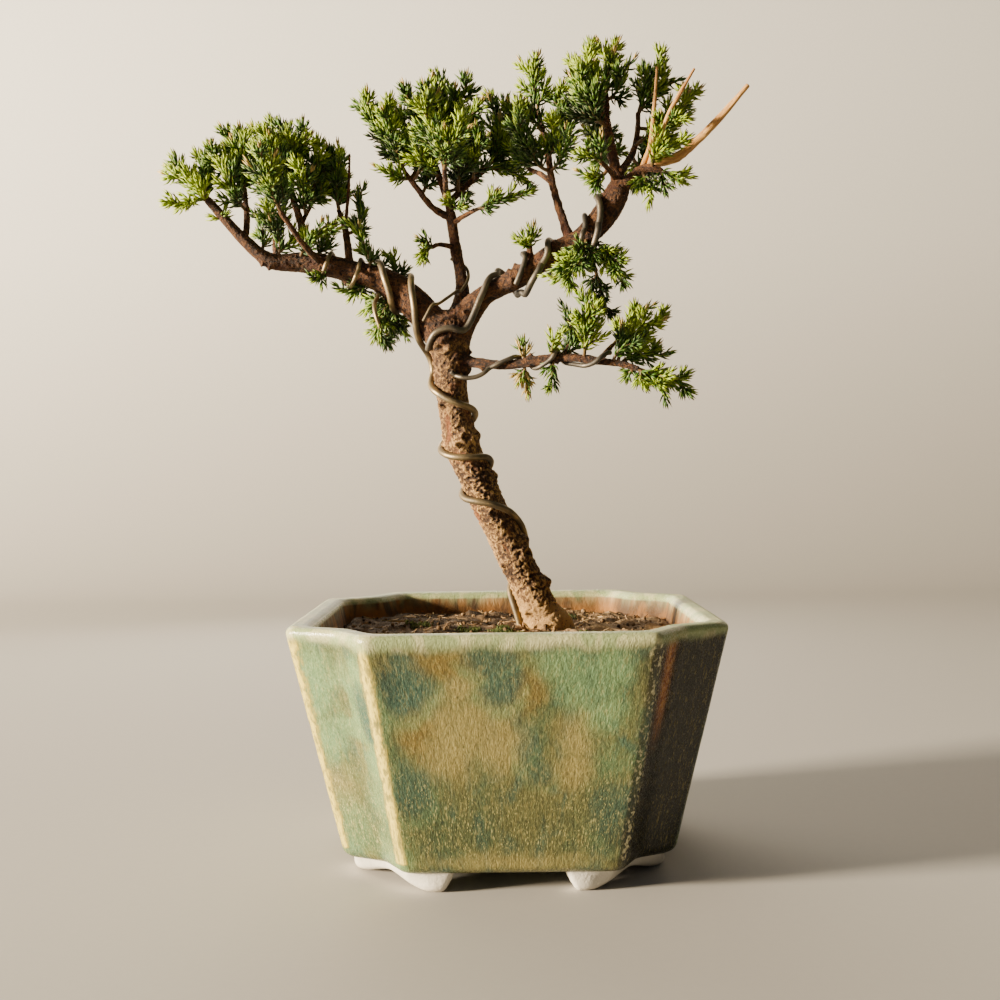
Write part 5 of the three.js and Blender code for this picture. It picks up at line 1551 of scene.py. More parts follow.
@dataclass(frozen=True)
class Soil:
    """The pot's filling, with loose lumps, straw, fallen needles and a little moss on it."""

    pot: PotBody
    surface: float = 80.0
    inset: float = 8.95
    bottom: float = 15.35
    lumps: int = 850
    straws: int = 26
    fallen: int = 110
    tufts: int = 1500
    trunk_foot: tuple[float, float] = (16.3, 3.0)
    trunk_room: float = 9.0
    drawn_half: float = 66.0
    rim_half: float = 74.4
    facet_reach: float = 71.0
    hollow_reach: float = 104.0
    # Cushions of moss: x and y of the middle, and radius.
    moss_spots: tuple[tuple[float, float, float], ...] = (
        (-3, -6, 6.5), (3, -14, 4.5), (-14, 4, 5.0), (30, -16, 4.0), (-34, 20, 6.0), (22, 32, 7.0),
        (-9, -26, 3.5),
    )

    def level(self, xy: Array) -> Array:
        """Height of the soil: its mean, slow waves, clumps of noise and a mound at the trunk.

        Args:
            xy: places, with x and y on the last axis.

        Returns:
            The height at each place.
        """
        x, y = xy[..., 0], xy[..., 1]
        waves = np.sin(0.21 * x + 0.6) * np.cos(0.17 * y) + 0.6 * np.sin(0.43 * x - 0.31 * y)
        spot = np.stack([x, y, np.zeros_like(x)], axis=-1)
        clumps = cloud_noise(spot * 0.2, 5, 70) - 0.5
        mound = 1.6 * np.exp(-((x - 15) ** 2 + (y - 3) ** 2) / 170)
        return self.surface - 0.6 + 0.7 * waves + 4.6 * clumps + mound

    def block(self) -> Skin:
        """Builds the filling: walls, and a top of shrinking rings that ends in one face.

        Returns:
            The skin.
        """
        z = np.array([self.bottom, self.bottom, self.bottom + 3, self.surface - 12, self.surface - 1.5])
        inset = np.array([self.inset + 20, self.inset + 3.2, self.inset, self.inset, self.inset])
        sides = self.pot.outline(z, inset)[:, ::2]
        edge = sides[-1]
        share = np.linspace(1, 0.012, 76)[:, None, None]
        top = edge[None] * np.concatenate([share, share, np.ones_like(share)], axis=-1)
        rim = smooth_step(1.0, 0.95, share[..., 0])
        top[..., 2] = edge[0, 2] + rim * (self.level(top[..., :2]) - edge[0, 2])
        rings = np.concatenate([sides, top[1:]])
        # lighter and sandier to the right and darker to the left: partly sandier soil, partly painted light
        # and shade, the rim shading the left part
        shade = 1.7 * cloud_noise(rings * 0.16, 4, 77) - 0.7 + 0.75 * smooth_step(-20, 40, rings[..., 0])
        skin = Skin("soil_filling", ("shade",))
        skin.add(rings, tube_faces(*rings.shape[:2]), shade=shade)
        return skin

    def scattered(self, count: int, seed: int, margin: float = 2.5) -> Array:
        """Seeded places on the soil, inside the walls and clear of the trunk.

        Args:
            count: number of places wanted; three times as many are drawn.
            seed: picks the draw.
            margin: distance kept from the walls.

        Returns:
            The first places that lie free, as rows of x and y.
        """
        random = np.random.default_rng(seed)
        xy = random.uniform(-self.drawn_half, self.drawn_half, (count * 3, 2))
        limit = self.rim_half - self.inset - margin
        corner = np.abs(xy)
        inside = corner.max(axis=1) < limit
        inside &= corner.min(axis=1) * 0.39 + corner.max(axis=1) * 0.92 < self.facet_reach - margin
        inside &= corner.sum(axis=1) < self.hollow_reach - 1.4 * margin
        far = np.linalg.norm(xy - np.array(self.trunk_foot), axis=1) > self.trunk_room
        return xy[inside & far][:count]

    def add_lumps(self, skin: Skin) -> None:
        """Adds the lumps: small balls of five rings, squashed, turned and dented by noise.

        Args:
            skin: the filling's skin.
        """
        xy = self.scattered(self.lumps, 81)
        random = np.random.default_rng(82)
        size = 0.18 + 0.85 * random.uniform(0, 1, len(xy)) ** 3
        around = 2 * math.pi * np.arange(6) / 6
        down = np.array([0.35, 0.95, 1.6, 2.2, 2.8])
        ball = np.stack([
            np.sin(down)[:, None] * np.cos(around), np.sin(down)[:, None] * np.sin(around),
            np.broadcast_to(np.cos(down)[:, None], (5, 6)),
        ], axis=-1)[::-1].reshape(-1, 3)
        middle = np.concatenate([xy, (self.level(xy) + 0.35 * size)[:, None]], axis=1)
        stretch = random.uniform(0.8, 1.2, (len(xy), 1, 3)) * size[:, None, None]
        shape = ball[None] * stretch
        dents = 1 + 0.5 * (cloud_noise((middle[:, None] * 3 + ball[None]) * 1.3, 2, 83) - 0.5)
        points = middle[:, None] + shape * dents[..., None]
        shade = np.repeat(random.uniform(0.05, 1.0, len(xy)) ** 1.3, 30)
        skin.add(points, copies(tube_faces(5, 6), 30, len(xy)), shade=shade)

    def sticks(
        self, name: str, count: int, seed: int, lengths: tuple[float, float], radius: float
    ) -> Skin:
        """Thin bent bits that lie on the soil: three-sided rods of four rings.

        Args:
            name: name of the piece.
            count: number of bits.
            seed: picks the draw.
            lengths: shortest and longest.
            radius: half the thickness.

        Returns:
            The skin of all bits.
        """
        random = np.random.default_rng(seed)
        xy = self.scattered(count, seed + 1, 6.0)
        turn = random.uniform(0, 2 * math.pi, len(xy))
        length = random.uniform(*lengths, len(xy))
        t = np.linspace(-0.5, 0.5, 4)[None, :, None]
        heading = np.stack([np.cos(turn), np.sin(turn)], -1)[:, None]
        across = np.stack([-np.sin(turn), np.cos(turn)], -1)[:, None]
        bend = random.uniform(-0.25, 0.25, (len(xy), 1, 1)) * length[:, None, None]
        line = xy[:, None] + heading * t * length[:, None, None] + across * bend * (t * t * 4 - 0.5)
        z = self.level(line) + radius + random.uniform(0.2, 0.9, (len(xy), 1))
        line = np.concatenate([line, z[..., None]], axis=-1)
        side = np.concatenate([across, np.zeros((len(xy), 1, 1))], axis=-1)[:, :, None]
        corner = THIRDS[None, None, :, None]
        ring = radius * (side * np.cos(corner) - UP * np.sin(corner))
        taper = np.array([0.55, 1, 1, 0.45])[None, :, None, None]
        points = line[:, :, None] + ring * taper
        skin = Skin(name, ("shade",))
        shade = np.repeat(random.uniform(0, 1, len(xy)), 12)
        skin.add(points[:, :, ::-1], copies(tube_faces(4, 3), 12, len(xy)), shade=shade)
        return skin

    def moss(self) -> Skin:
        """Little upright blades that crowd together on a few round spots.

        Returns:
            The skin of all blades.
        """
        random = np.random.default_rng(95)
        spots = np.array(self.moss_spots)
        pick = random.integers(len(spots), size=self.tufts)
        turn, reach = random.uniform(0, 2 * math.pi, self.tufts), random.uniform(0, 1, self.tufts) ** 0.6
        reach = reach * spots[pick, 2] * random.uniform(0.6, 1.0, self.tufts)
        xy = spots[pick, :2] + reach[:, None] * np.stack([np.cos(turn), np.sin(turn)], -1)
        xy = xy[np.linalg.norm(xy - np.array(self.trunk_foot), axis=1) > 8.8]
        base = np.concatenate([xy, (self.level(xy) - 0.3)[:, None]], axis=1)
        lean = random.normal(0, 0.35, (len(xy), 3)) + UP
        tip = base + unit(lean) * random.uniform(1.0, 2.3, (len(xy), 1))
        ring = np.stack([np.cos(THIRDS), np.sin(THIRDS), np.zeros(3)], -1)[None] * 0.42
        middle = base * 0.45 + tip * 0.55
        points = np.concatenate([base[:, None] + ring, middle[:, None] + 0.8 * ring, tip[:, None]], axis=1)
        skin = Skin("moss_tufts", ("shade",))
        shade = np.tile([0, 0, 0, 0.5, 0.5, 0.5, 1.0], len(xy))
        skin.add(points, copies(AWL_FACES, 7, len(xy)), shade=shade)
        return skin

    def make(self) -> None:
        """Makes the filling and everything that lies on it."""
        block = self.block()
        self.add_lumps(block)
        dress(block.make(), Earth().material(), "soil", "soil")
        straw = Straw().material()
        dress(self.sticks("straw_bits", self.straws, 85, (5, 17), 0.33).make(), straw, "")
        dress(self.sticks("fallen_needles", self.fallen, 88, (2.5, 5.5), 0.3).make(), straw, "")
        dress(self.moss().make(), Moss().material(), "")


# Wood


@dataclass(frozen=True)
class Limb:
    """One limb as round rods along its smoothed middle line."""

    name: str
    path: Array
    radii: Array

    def distance(self, points: Array) -> tuple[Array, Array, Array]:
        """Finds the nearest part of the limb for each point.

        Args:
            points: rows of x, y and z.

        Returns:
            Distance from the limb's surface, nearest point of the middle line, and radius there.
        """
        start, along = self.path[:-1], np.diff(self.path, axis=0)
        lengths = np.maximum(np.sum(along * along, axis=1), 1e-9)
        share = np.einsum("psc,sc->ps", points[:, None] - start[None], along) / lengths
        share = np.clip(share, 0, 1)
        middle = start[None] + share[..., None] * along[None]
        radius = self.radii[:-1] + share * np.diff(self.radii)
        gap = np.linalg.norm(points[:, None] - middle, axis=-1) - radius
        best = np.argmin(gap, axis=1)
        rows = np.arange(len(points))
        return gap[rows, best], middle[rows, best], radius[rows, best]


@dataclass(frozen=True)
class Tree:
    """All limbs, with their distances melted into each other where they meet."""

    limbs: tuple[Limb, ...]
    melt: float = 0.75

    def measure(self, points: Array) -> tuple[Array, Array, Array]:
        """Distance from the melted surface, the middle line that rules there, and its radius.

        The distances to the limbs are joined as minus melt times the logarithm of the sum of
        exp(-distance / melt); the same powers weigh the middle lines and radii.

        Args:
            points: rows of x, y and z.

        Returns:
            Distance, point of the middle line, and radius.
        """
        total = np.zeros(len(points))
        middle, radius = np.zeros((len(points), 3)), np.zeros(len(points))
        for limb in self.limbs:
            gap, centre, size = limb.distance(points)
            weight = np.exp(-np.clip(gap, -20, 400) / self.melt)
            total += weight
            middle += weight[:, None] * centre
            radius += weight * size
        total = np.maximum(total, 1e-280)
        return -self.melt * np.log(total), middle / total[:, None], radius / total


def knob_limb(index: int, row: list[float]) -> Limb:
    """A short stub on the trunk, where a twig was cut.

    Args:
        index: number in its name.
        row: height, degrees from the front to the right, length and radius.

    Returns:
        The stub as a limb.
    """
    height, degrees, length, radius = row
    trunk = np.array(TRUNK, float)
    middle = np.array([np.interp(height, trunk[:, 2], trunk[:, i]) for i in (0, 1, 2)])
    width = np.interp(height, trunk[:, 2], trunk[:, 3])
    turn = math.radians(degrees)
    out = unit(np.array([math.sin(turn), -math.cos(turn), 0.25]))
    reach = np.array([0.4 * width - 0.4 * length, width - 0.1 * length, width + 0.35 * length])
    return Limb(f"knob_{index}", middle + reach[:, None] * out, np.array([1.0, 1.0, 0.6]) * radius)


def limb_of(name: str, rows: list[list[float]], steps: int = 4) -> Limb:
    """A limb from a table of its stations."""
    fine = smooth_rows(rows, steps)
    return Limb(name, fine[:, :3], fine[:, 3])


def stub_limbs(limb: Limb, count: int, seed: int) -> list[Limb]:
    """Seeded low knobs all over a limb, where small twigs broke off.

    Args:
        limb: the limb that bears them.
        count: number of knobs.
        seed: picks the draw.

    Returns:
        The knobs as limbs.
    """
    random = np.random.default_rng(seed)
    tangents, side, rise = carried_frames(limb.path)
    found = []
    for index in range(count):
        i = random.integers(2, len(limb.path) - 2)
        turn, size = random.uniform(0, 2 * math.pi), random.uniform(0.45, 1.0)
        out = side[i] * math.cos(turn) + rise[i] * math.sin(turn)
        out = out + random.uniform(-0.3, 0.5) * tangents[i]
        reach = limb.radii[i] + np.array([-1.6, 0.2, 0.5 + size])
        path = limb.path[i] + reach[:, None] * unit(out)
        found.append(Limb(f"{limb.name}_stub_{index}", path, np.array([1.3, 1.0, 0.55]) * size))
    return found


@dataclass(frozen=True)
class Bark:
    """Old juniper bark: dusty tan grains on the trunk, red-brown and darker above, partly as painted shade,
    dark pits between.
    """

    pit: Colour = (0.045, 0.02, 0.008)
    brown: Colour = (0.17, 0.08, 0.03)
    tan: Colour = (0.74, 0.43, 0.14)
    orange: Colour = (0.34, 0.1, 0.025)
    # multiplied in on the upper limbs and twigs: a redder, darker tone, partly painted shade under the crown
    dusk: Colour = (0.27, 0.18, 0.145)

    def material(self) -> bpy.types.Material:
        """Builds the bark from the relief stored on the mesh, fibres, orange patches and the darkening of the
        upper limbs, which is partly painted shade.

        Returns:
            The finished material.
        """
        paint = Paint("juniper_bark", 0.85)
        grain = paint.attribute("grain", vector=True)
        relief = paint.attribute("relief")
        fibre = paint.noise(paint.place((1.9, 1.9, 1.9), grain), 5, 0.5)
        fine = paint.noise(paint.place((5.0, 5.0, 5.0), grain), 4)
        patch = paint.noise(paint.place((0.16, 0.16, 0.16), grain), 4, 0.8)
        level = paint.plus(relief, paint.times(paint.step("SUBTRACT", fibre, 0.5), 1.3))
        colour = paint.mix(paint.ramp(level, 0.0, 0.4), self.pit, self.brown)
        colour = paint.mix(paint.ramp(level, 0.34, 0.72), colour, self.tan)
        colour = paint.mix(paint.ramp(patch, 0.56, 0.7, 0.0, 0.6), colour, self.orange)
        speck = paint.ramp(fine, 0.34, 0.62, 0.5, 1.0)
        colour = paint.mix(0.8, colour, paint.mix(speck, BLACK, (1.0, 1.0, 1.0)), "MULTIPLY")
        # painted shade under the crown, together with the redder tone of the upper bark
        colour = paint.mix(paint.attribute("dusk"), colour, self.dusk, "MULTIPLY")
        height = paint.plus(paint.times(fibre, 1.6), fine)
        return paint.finish(colour, paint.ramp(fine, 0.3, 0.7, 0.7, 0.95), height, 0.0008)


@dataclass(frozen=True)
class Deadwood:
    """Stripped wood, bleached cream and tan, with fine cracks along it."""

    cream: Colour = (0.62, 0.34, 0.1)
    tan: Colour = (0.42, 0.19, 0.05)
    crack: Colour = (0.09, 0.055, 0.03)

    def material(self) -> bpy.types.Material:
        """Builds the wood from fibres that follow its length.

        Returns:
            The finished material.
        """
        paint = Paint("bare_deadwood", 0.6)
        grain = paint.attribute("grain", vector=True)
        fibre = paint.noise(paint.place((3.0, 3.0, 3.0), grain), 4)
        cloud = paint.noise(paint.place((0.7, 0.7, 0.7), grain), 4)
        colour = paint.mix(paint.ramp(cloud, 0.35, 0.65), self.cream, self.tan)
        colour = paint.mix(paint.ramp(fibre, 0.42, 0.3, 0.0, 0.9), colour, self.crack)
        return paint.finish(colour, None, fibre, 0.0003)


def along_grain(points: Array, middle: Array, share: float) -> Array:
    """Coordinates squeezed along a limb: the point less a share of its middle-line point."""
    return points - share * middle


@dataclass(frozen=True)
class Wood:
    """Trunk and branches under bark, the twigs, and the stripped tips."""

    tree: Tree
    thick: tuple[Limb, ...]
    twigs: tuple[Limb, ...]
    jins: tuple[Limb, ...]
    voxel: float = 0.44
    slides: int = 3
    most_slide: float = 1.5
    twig_sides: int = 12
    thick_sides: int = 16
    # Rough zones of the trunk: height, reach up and down, and strength.
    rough_zones: tuple[tuple[float, float, float], ...] = (
        (136, 6, 1.0), (122, 4, 0.8), (101, 4, 0.9), (93, 3, 0.7), (154, 7, 0.4), (110, 5, 0.45),
        (178, 9, 0.4),
    )
    # Scars: x, y and z of the middle, radius of the ring, and its height.
    scars: tuple[tuple[float, float, float, float, float], ...] = (
        (-22.0, -5.8, 185.5, 2.6, 1.3), (8.0, -2.5, 109.0, 2.0, 0.9), (-14.0, -5.8, 152.0, 1.9, 0.8),
    )

    def bark_relief(self, points: Array, middle: Array, radius: Array) -> tuple[Array, Array]:
        """Works out the relief of the bark.

        It is lumps and grains of noise, strongest in the rough zones, less pits, and less narrow
        lines where another noise passes its middle value. A scar is a raised ring round a dent.

        Args:
            points: points of the smooth surface.
            middle: the middle-line point of each.
            radius: the radius of the limb at each.

        Returns:
            Height over the smooth surface, and the same as a level from 0, a pit, to 1.
        """
        grain = along_grain(points, middle, 0.35)
        lumps = cloud_noise(grain * 0.3, 3, 11)
        grains = cloud_noise(points * 1.3, 2, 23)
        lines = np.abs(cloud_noise(grain * 0.6, 3, 37) - 0.5)
        crevice = np.exp(-((lines / 0.025) ** 2))
        pits = smooth_step(0.3, 0.18, cloud_noise(points * 0.7, 2, 43))
        z = points[:, 2] - 2.5 * (lumps - 0.5)
        old = smooth_step(90, 100, z)
        rough = sum(
            share * np.exp(-(((z - zone) / reach) ** 2)) for zone, reach, share in self.rough_zones
        )
        noise = 0.7 * (lumps - 0.5) + 2.0 * (grains - 0.5)
        level = (0.55 + 0.75 * rough) * noise - old * (0.2 * crevice + 0.4 * pits)
        deep = np.clip(0.12 * radius, 0.12, 0.7)
        height = deep * level
        for x, y, z, size, rise in self.scars:
            far = np.linalg.norm(points - np.array([x, y, z]), axis=1) / size
            height += rise * (np.exp(-(((far - 1) / 0.45) ** 2)) - 1.3 * np.exp(-((far / 0.5) ** 2)))
        return height, np.clip(0.52 + 0.7 * level - 0.24 * rough + 0.2 * (1 - old), 0, 1)

    def make_bark(self, finish: bpy.types.Material) -> bpy.types.Object:
        """Makes trunk and branches as one skin.

        Tubes of all limbs are fused by a voxel remesh; each point then slides onto the melted
        surface and out or in by the bark's relief.

        Args:
            finish: material of the bark.

        Returns:
            The piece.
        """
        raw = Skin("bark_tubes")
        for limb in self.thick:
            path, radii = rounded_ends(limb.path, limb.radii, float(limb.radii[-1]) * 0.9)
            raw.add(tube_points(path, radii, self.thick_sides), tube_faces(len(path), self.thick_sides))
        tubes = raw.make()
        remesh = tubes.modifiers.new("fuse", "REMESH")
        remesh.mode, remesh.voxel_size = "VOXEL", self.voxel * MM
        mesh = bpy.data.meshes.new_from_object(tubes.evaluated_get(bpy.context.evaluated_depsgraph_get()))
        old = tubes.data
        bpy.data.objects.remove(tubes)
        bpy.data.meshes.remove(old)
        flat = np.empty(3 * len(mesh.vertices), np.float32)
        mesh.vertices.foreach_get("co", flat)
        points = (flat.reshape(-1, 3) - ORIGIN) / MM
        for _ in range(self.slides):
            gap, middle, radius = self.tree.measure(points)
            slide = np.clip(gap, -self.most_slide, self.most_slide)
            points = points - slide[:, None] * unit(points - middle)
        height, level = self.bark_relief(points, middle, radius)
        points = points + height[:, None] * unit(points - middle)
        mesh.vertices.foreach_set("co", (points * MM + ORIGIN).astype(np.float32).ravel())
        mesh.update()
        mesh.name = "bark"
        set_value(mesh, "grain", along_grain(points, middle, 0.4))
        set_value(mesh, "relief", level)
        z = points[:, 2]
        # darker, redder bark on thin limbs above 162 mm, on everything above the fork, and less of it from
        # 150 mm up: partly the younger bark's colour, partly painted shade under the crown
        dusk = np.maximum(smooth_step(5.8, 4.7, radius) * smooth_step(162, 174, z), smooth_step(183, 189, z))
        set_value(mesh, "dusk", np.maximum(dusk, 0.4 * smooth_step(150, 166, z)))
        mesh.polygons.foreach_set("use_smooth", np.ones(len(mesh.polygons), bool))
        piece = bpy.data.objects.new("trunk_bark", mesh)
        bpy.context.scene.collection.objects.link(piece)
        mesh.materials.clear()
        dress(piece, finish, "bark", "trunk")
        return piece

    def make_twigs(self, finish: bpy.types.Material) -> bpy.types.Object:
        """Makes the twigs: tubes with rough bark, rooted inside the limb that bears them.

        Args:
            finish: material of the bark.

        Returns:
            The piece.
        """
        skin = Skin("twigs", ("relief", "dusk"))
        grains = []
        for index, limb in enumerate(self.twigs):
            table = spread_evenly(np.column_stack([limb.path, limb.radii]), 0.7)
            path, radii = rounded_ends(table[:, :3], table[:, 3], 0.7 * table[-1, 3])
            rings = tube_points(path, 0.8 * radii, self.twig_sides)
            grain = along_grain(rings, path[:, None], 0.5)
            level = cloud_noise(grain * 1.3 + 7 * index, 3, 61) - 0.5
            out = unit(rings - path[:, None])
            rings = rings + out * (0.5 * radii[:, None] * level)[..., None]
            relief = np.clip(0.5 + 1.2 * level, 0, 1)
            # twigs get the full darkening: partly their redder bark, partly painted shade
            skin.add(rings, tube_faces(len(path), self.twig_sides), relief=relief, dusk=1.0)
            grains.append(grain.reshape(-1, 3))
        piece = skin.make()
        set_value(piece.data, "grain", np.concatenate(grains))
        dress(piece, finish, "bark", "trunk")
        return piece

    def make_deadwood(self, finish: Deadwood) -> bpy.types.Object:
        """Makes the stripped tips: slim tapered tubes, furrowed along their length.

        Args:
            finish: the stripped wood.

        Returns:
            The piece.
        """
        skin = Skin("deadwood")
        grains = []
        for limb in self.jins:
            table = spread_evenly(np.column_stack([limb.path, limb.radii]), 0.6)
            path, radii = rounded_ends(table[:, :3], table[:, 3], 0.6 * table[-1, 3])
            rings = tube_points(path, radii, self.thick_sides)
            grain = along_grain(rings, path[:, None], 0.85)
            furrow = cloud_noise(grain * 1.5, 3, 67) - 0.5
            rings = rings + unit(rings - path[:, None]) * (0.55 * radii[:, None] * furrow)[..., None]
            skin.add(rings, tube_faces(len(path), self.thick_sides))
            grains.append(grain.reshape(-1, 3))
        piece = skin.make()
        set_value(piece.data, "grain", np.concatenate(grains))
        dress(piece, finish.material(), "", "trunk")
        return piece


# Wires


@dataclass(frozen=True)
class WireMetal:
    """Soft anodised aluminium, dull tan, worn and dusty."""

    name: str = "training_wire"
    tan: Colour = (0.31, 0.23, 0.12)
    grey: Colour = (0.12, 0.095, 0.06)

    def material(self) -> bpy.types.Material:
        """Builds the metal with faint drawing marks and duller, rougher dust.

        Returns:
            The finished material.
        """
        paint = Paint(self.name, 0.4, Metallic=0.75)
        cloud = paint.noise(paint.place((130, 130, 130)), 5)
        fine = paint.noise(paint.place((1500, 1500, 1500)), 3)
        colour = paint.mix(paint.ramp(cloud, 0.35, 0.65), self.tan, self.grey)
        colour = paint.mix(paint.ramp(fine, 0.55, 0.75, 0.0, 0.4), colour, self.grey)
        return paint.finish(colour, paint.ramp(cloud, 0.3, 0.7, 0.36, 0.6), fine, 0.00008)


@dataclass(frozen=True)
class TrainingWire:
    """One wire that winds round the wood on its own route."""

    name: str
    radius: float
    points: list[list[float]]
    sides: int = 16
    spacing: float = 0.6

    def route(self, tree: Tree) -> Array:
        """The route, eased against the bark: points in the wood move out, near ones move in.

        Args:
            tree: the wood that the wire lies on.

        Returns:
            Evenly spaced points of the route.
        """
        path = spread_evenly(smooth_rows(self.points, 8), self.spacing)
        for _ in range(4):
            gap, middle, _ = tree.measure(path)
            need = self.radius + 0.12 - gap
            move = np.where(need > 0, need, np.where(need > -1.8, 0.6 * need, 0.0))
            path = path + np.clip(move, -1.2, 2.5)[:, None] * unit(path - middle)
            inner = 0.25 * path[:-2] + 0.5 * path[1:-1] + 0.25 * path[2:]
            path = np.vstack([path[:1], inner, path[-1:]])
        return path

    def make(self, tree: Tree, finish: bpy.types.Material) -> bpy.types.Object:
        """Makes the wire as a round tube whose cut ends are slightly rounded.

        Args:
            tree: the wood that the wire lies on.
            finish: material of the metal.

        Returns:
            The piece.
        """
        path = self.route(tree)
        path, radii = rounded_ends(path, np.full(len(path), self.radius), 0.35 * self.radius)
        skin = Skin(f"{self.name}_metal")
        skin.add(tube_points(path, radii, self.sides), tube_faces(len(path), self.sides))
        piece = skin.make()
        dress(piece, finish, "wire", self.name)
        return piece


# Foliage


@dataclass(frozen=True)
class Leaf:
    """Juniper needles: near black in the depth, yellow-green where young, brown where dry."""

    dark: Colour = (0.011, 0.036, 0.005)
    middle: Colour = (0.05, 0.125, 0.009)
    bright: Colour = (0.3, 0.41, 0.022)
    dry: Colour = (0.5, 0.35, 0.11)
    twig: Colour = (0.12, 0.055, 0.022)

    def material(self) -> bpy.types.Material:
        """Builds the leaves from the freshness, dryness and woodiness stored on the mesh; the freshness also
        carries painted light and shade.

        Returns:
            The finished material.
        """
        paint = Paint("juniper_needles", 0.5, Subsurface_Weight=0.0)
        fresh, dry = paint.attribute("fresh"), paint.attribute("dry")
        mottle = paint.noise(paint.place((700, 700, 700)), 3)
        level = paint.plus(fresh, paint.times(paint.step("SUBTRACT", mottle, 0.5), 0.35))
        colour = paint.mix(paint.ramp(level, 0.0, 0.5), self.dark, self.middle)
        colour = paint.mix(paint.ramp(level, 0.45, 0.95), colour, self.bright)
        colour = paint.mix(dry, colour, self.dry)
        colour = paint.mix(paint.attribute("woody"), colour, self.twig)
        return paint.finish(colour, paint.ramp(mottle, 0.3, 0.7, 0.45, 0.65), mottle, 0.0001)


@dataclass(frozen=True)
class Shoot:
    """One shoot: its middle line, the room its needles have, and how young and dry it is."""

    path: Array
    needle: float
    fresh: float
    dry: float
    bare: float = 0.0
    scorch: float = 0.0


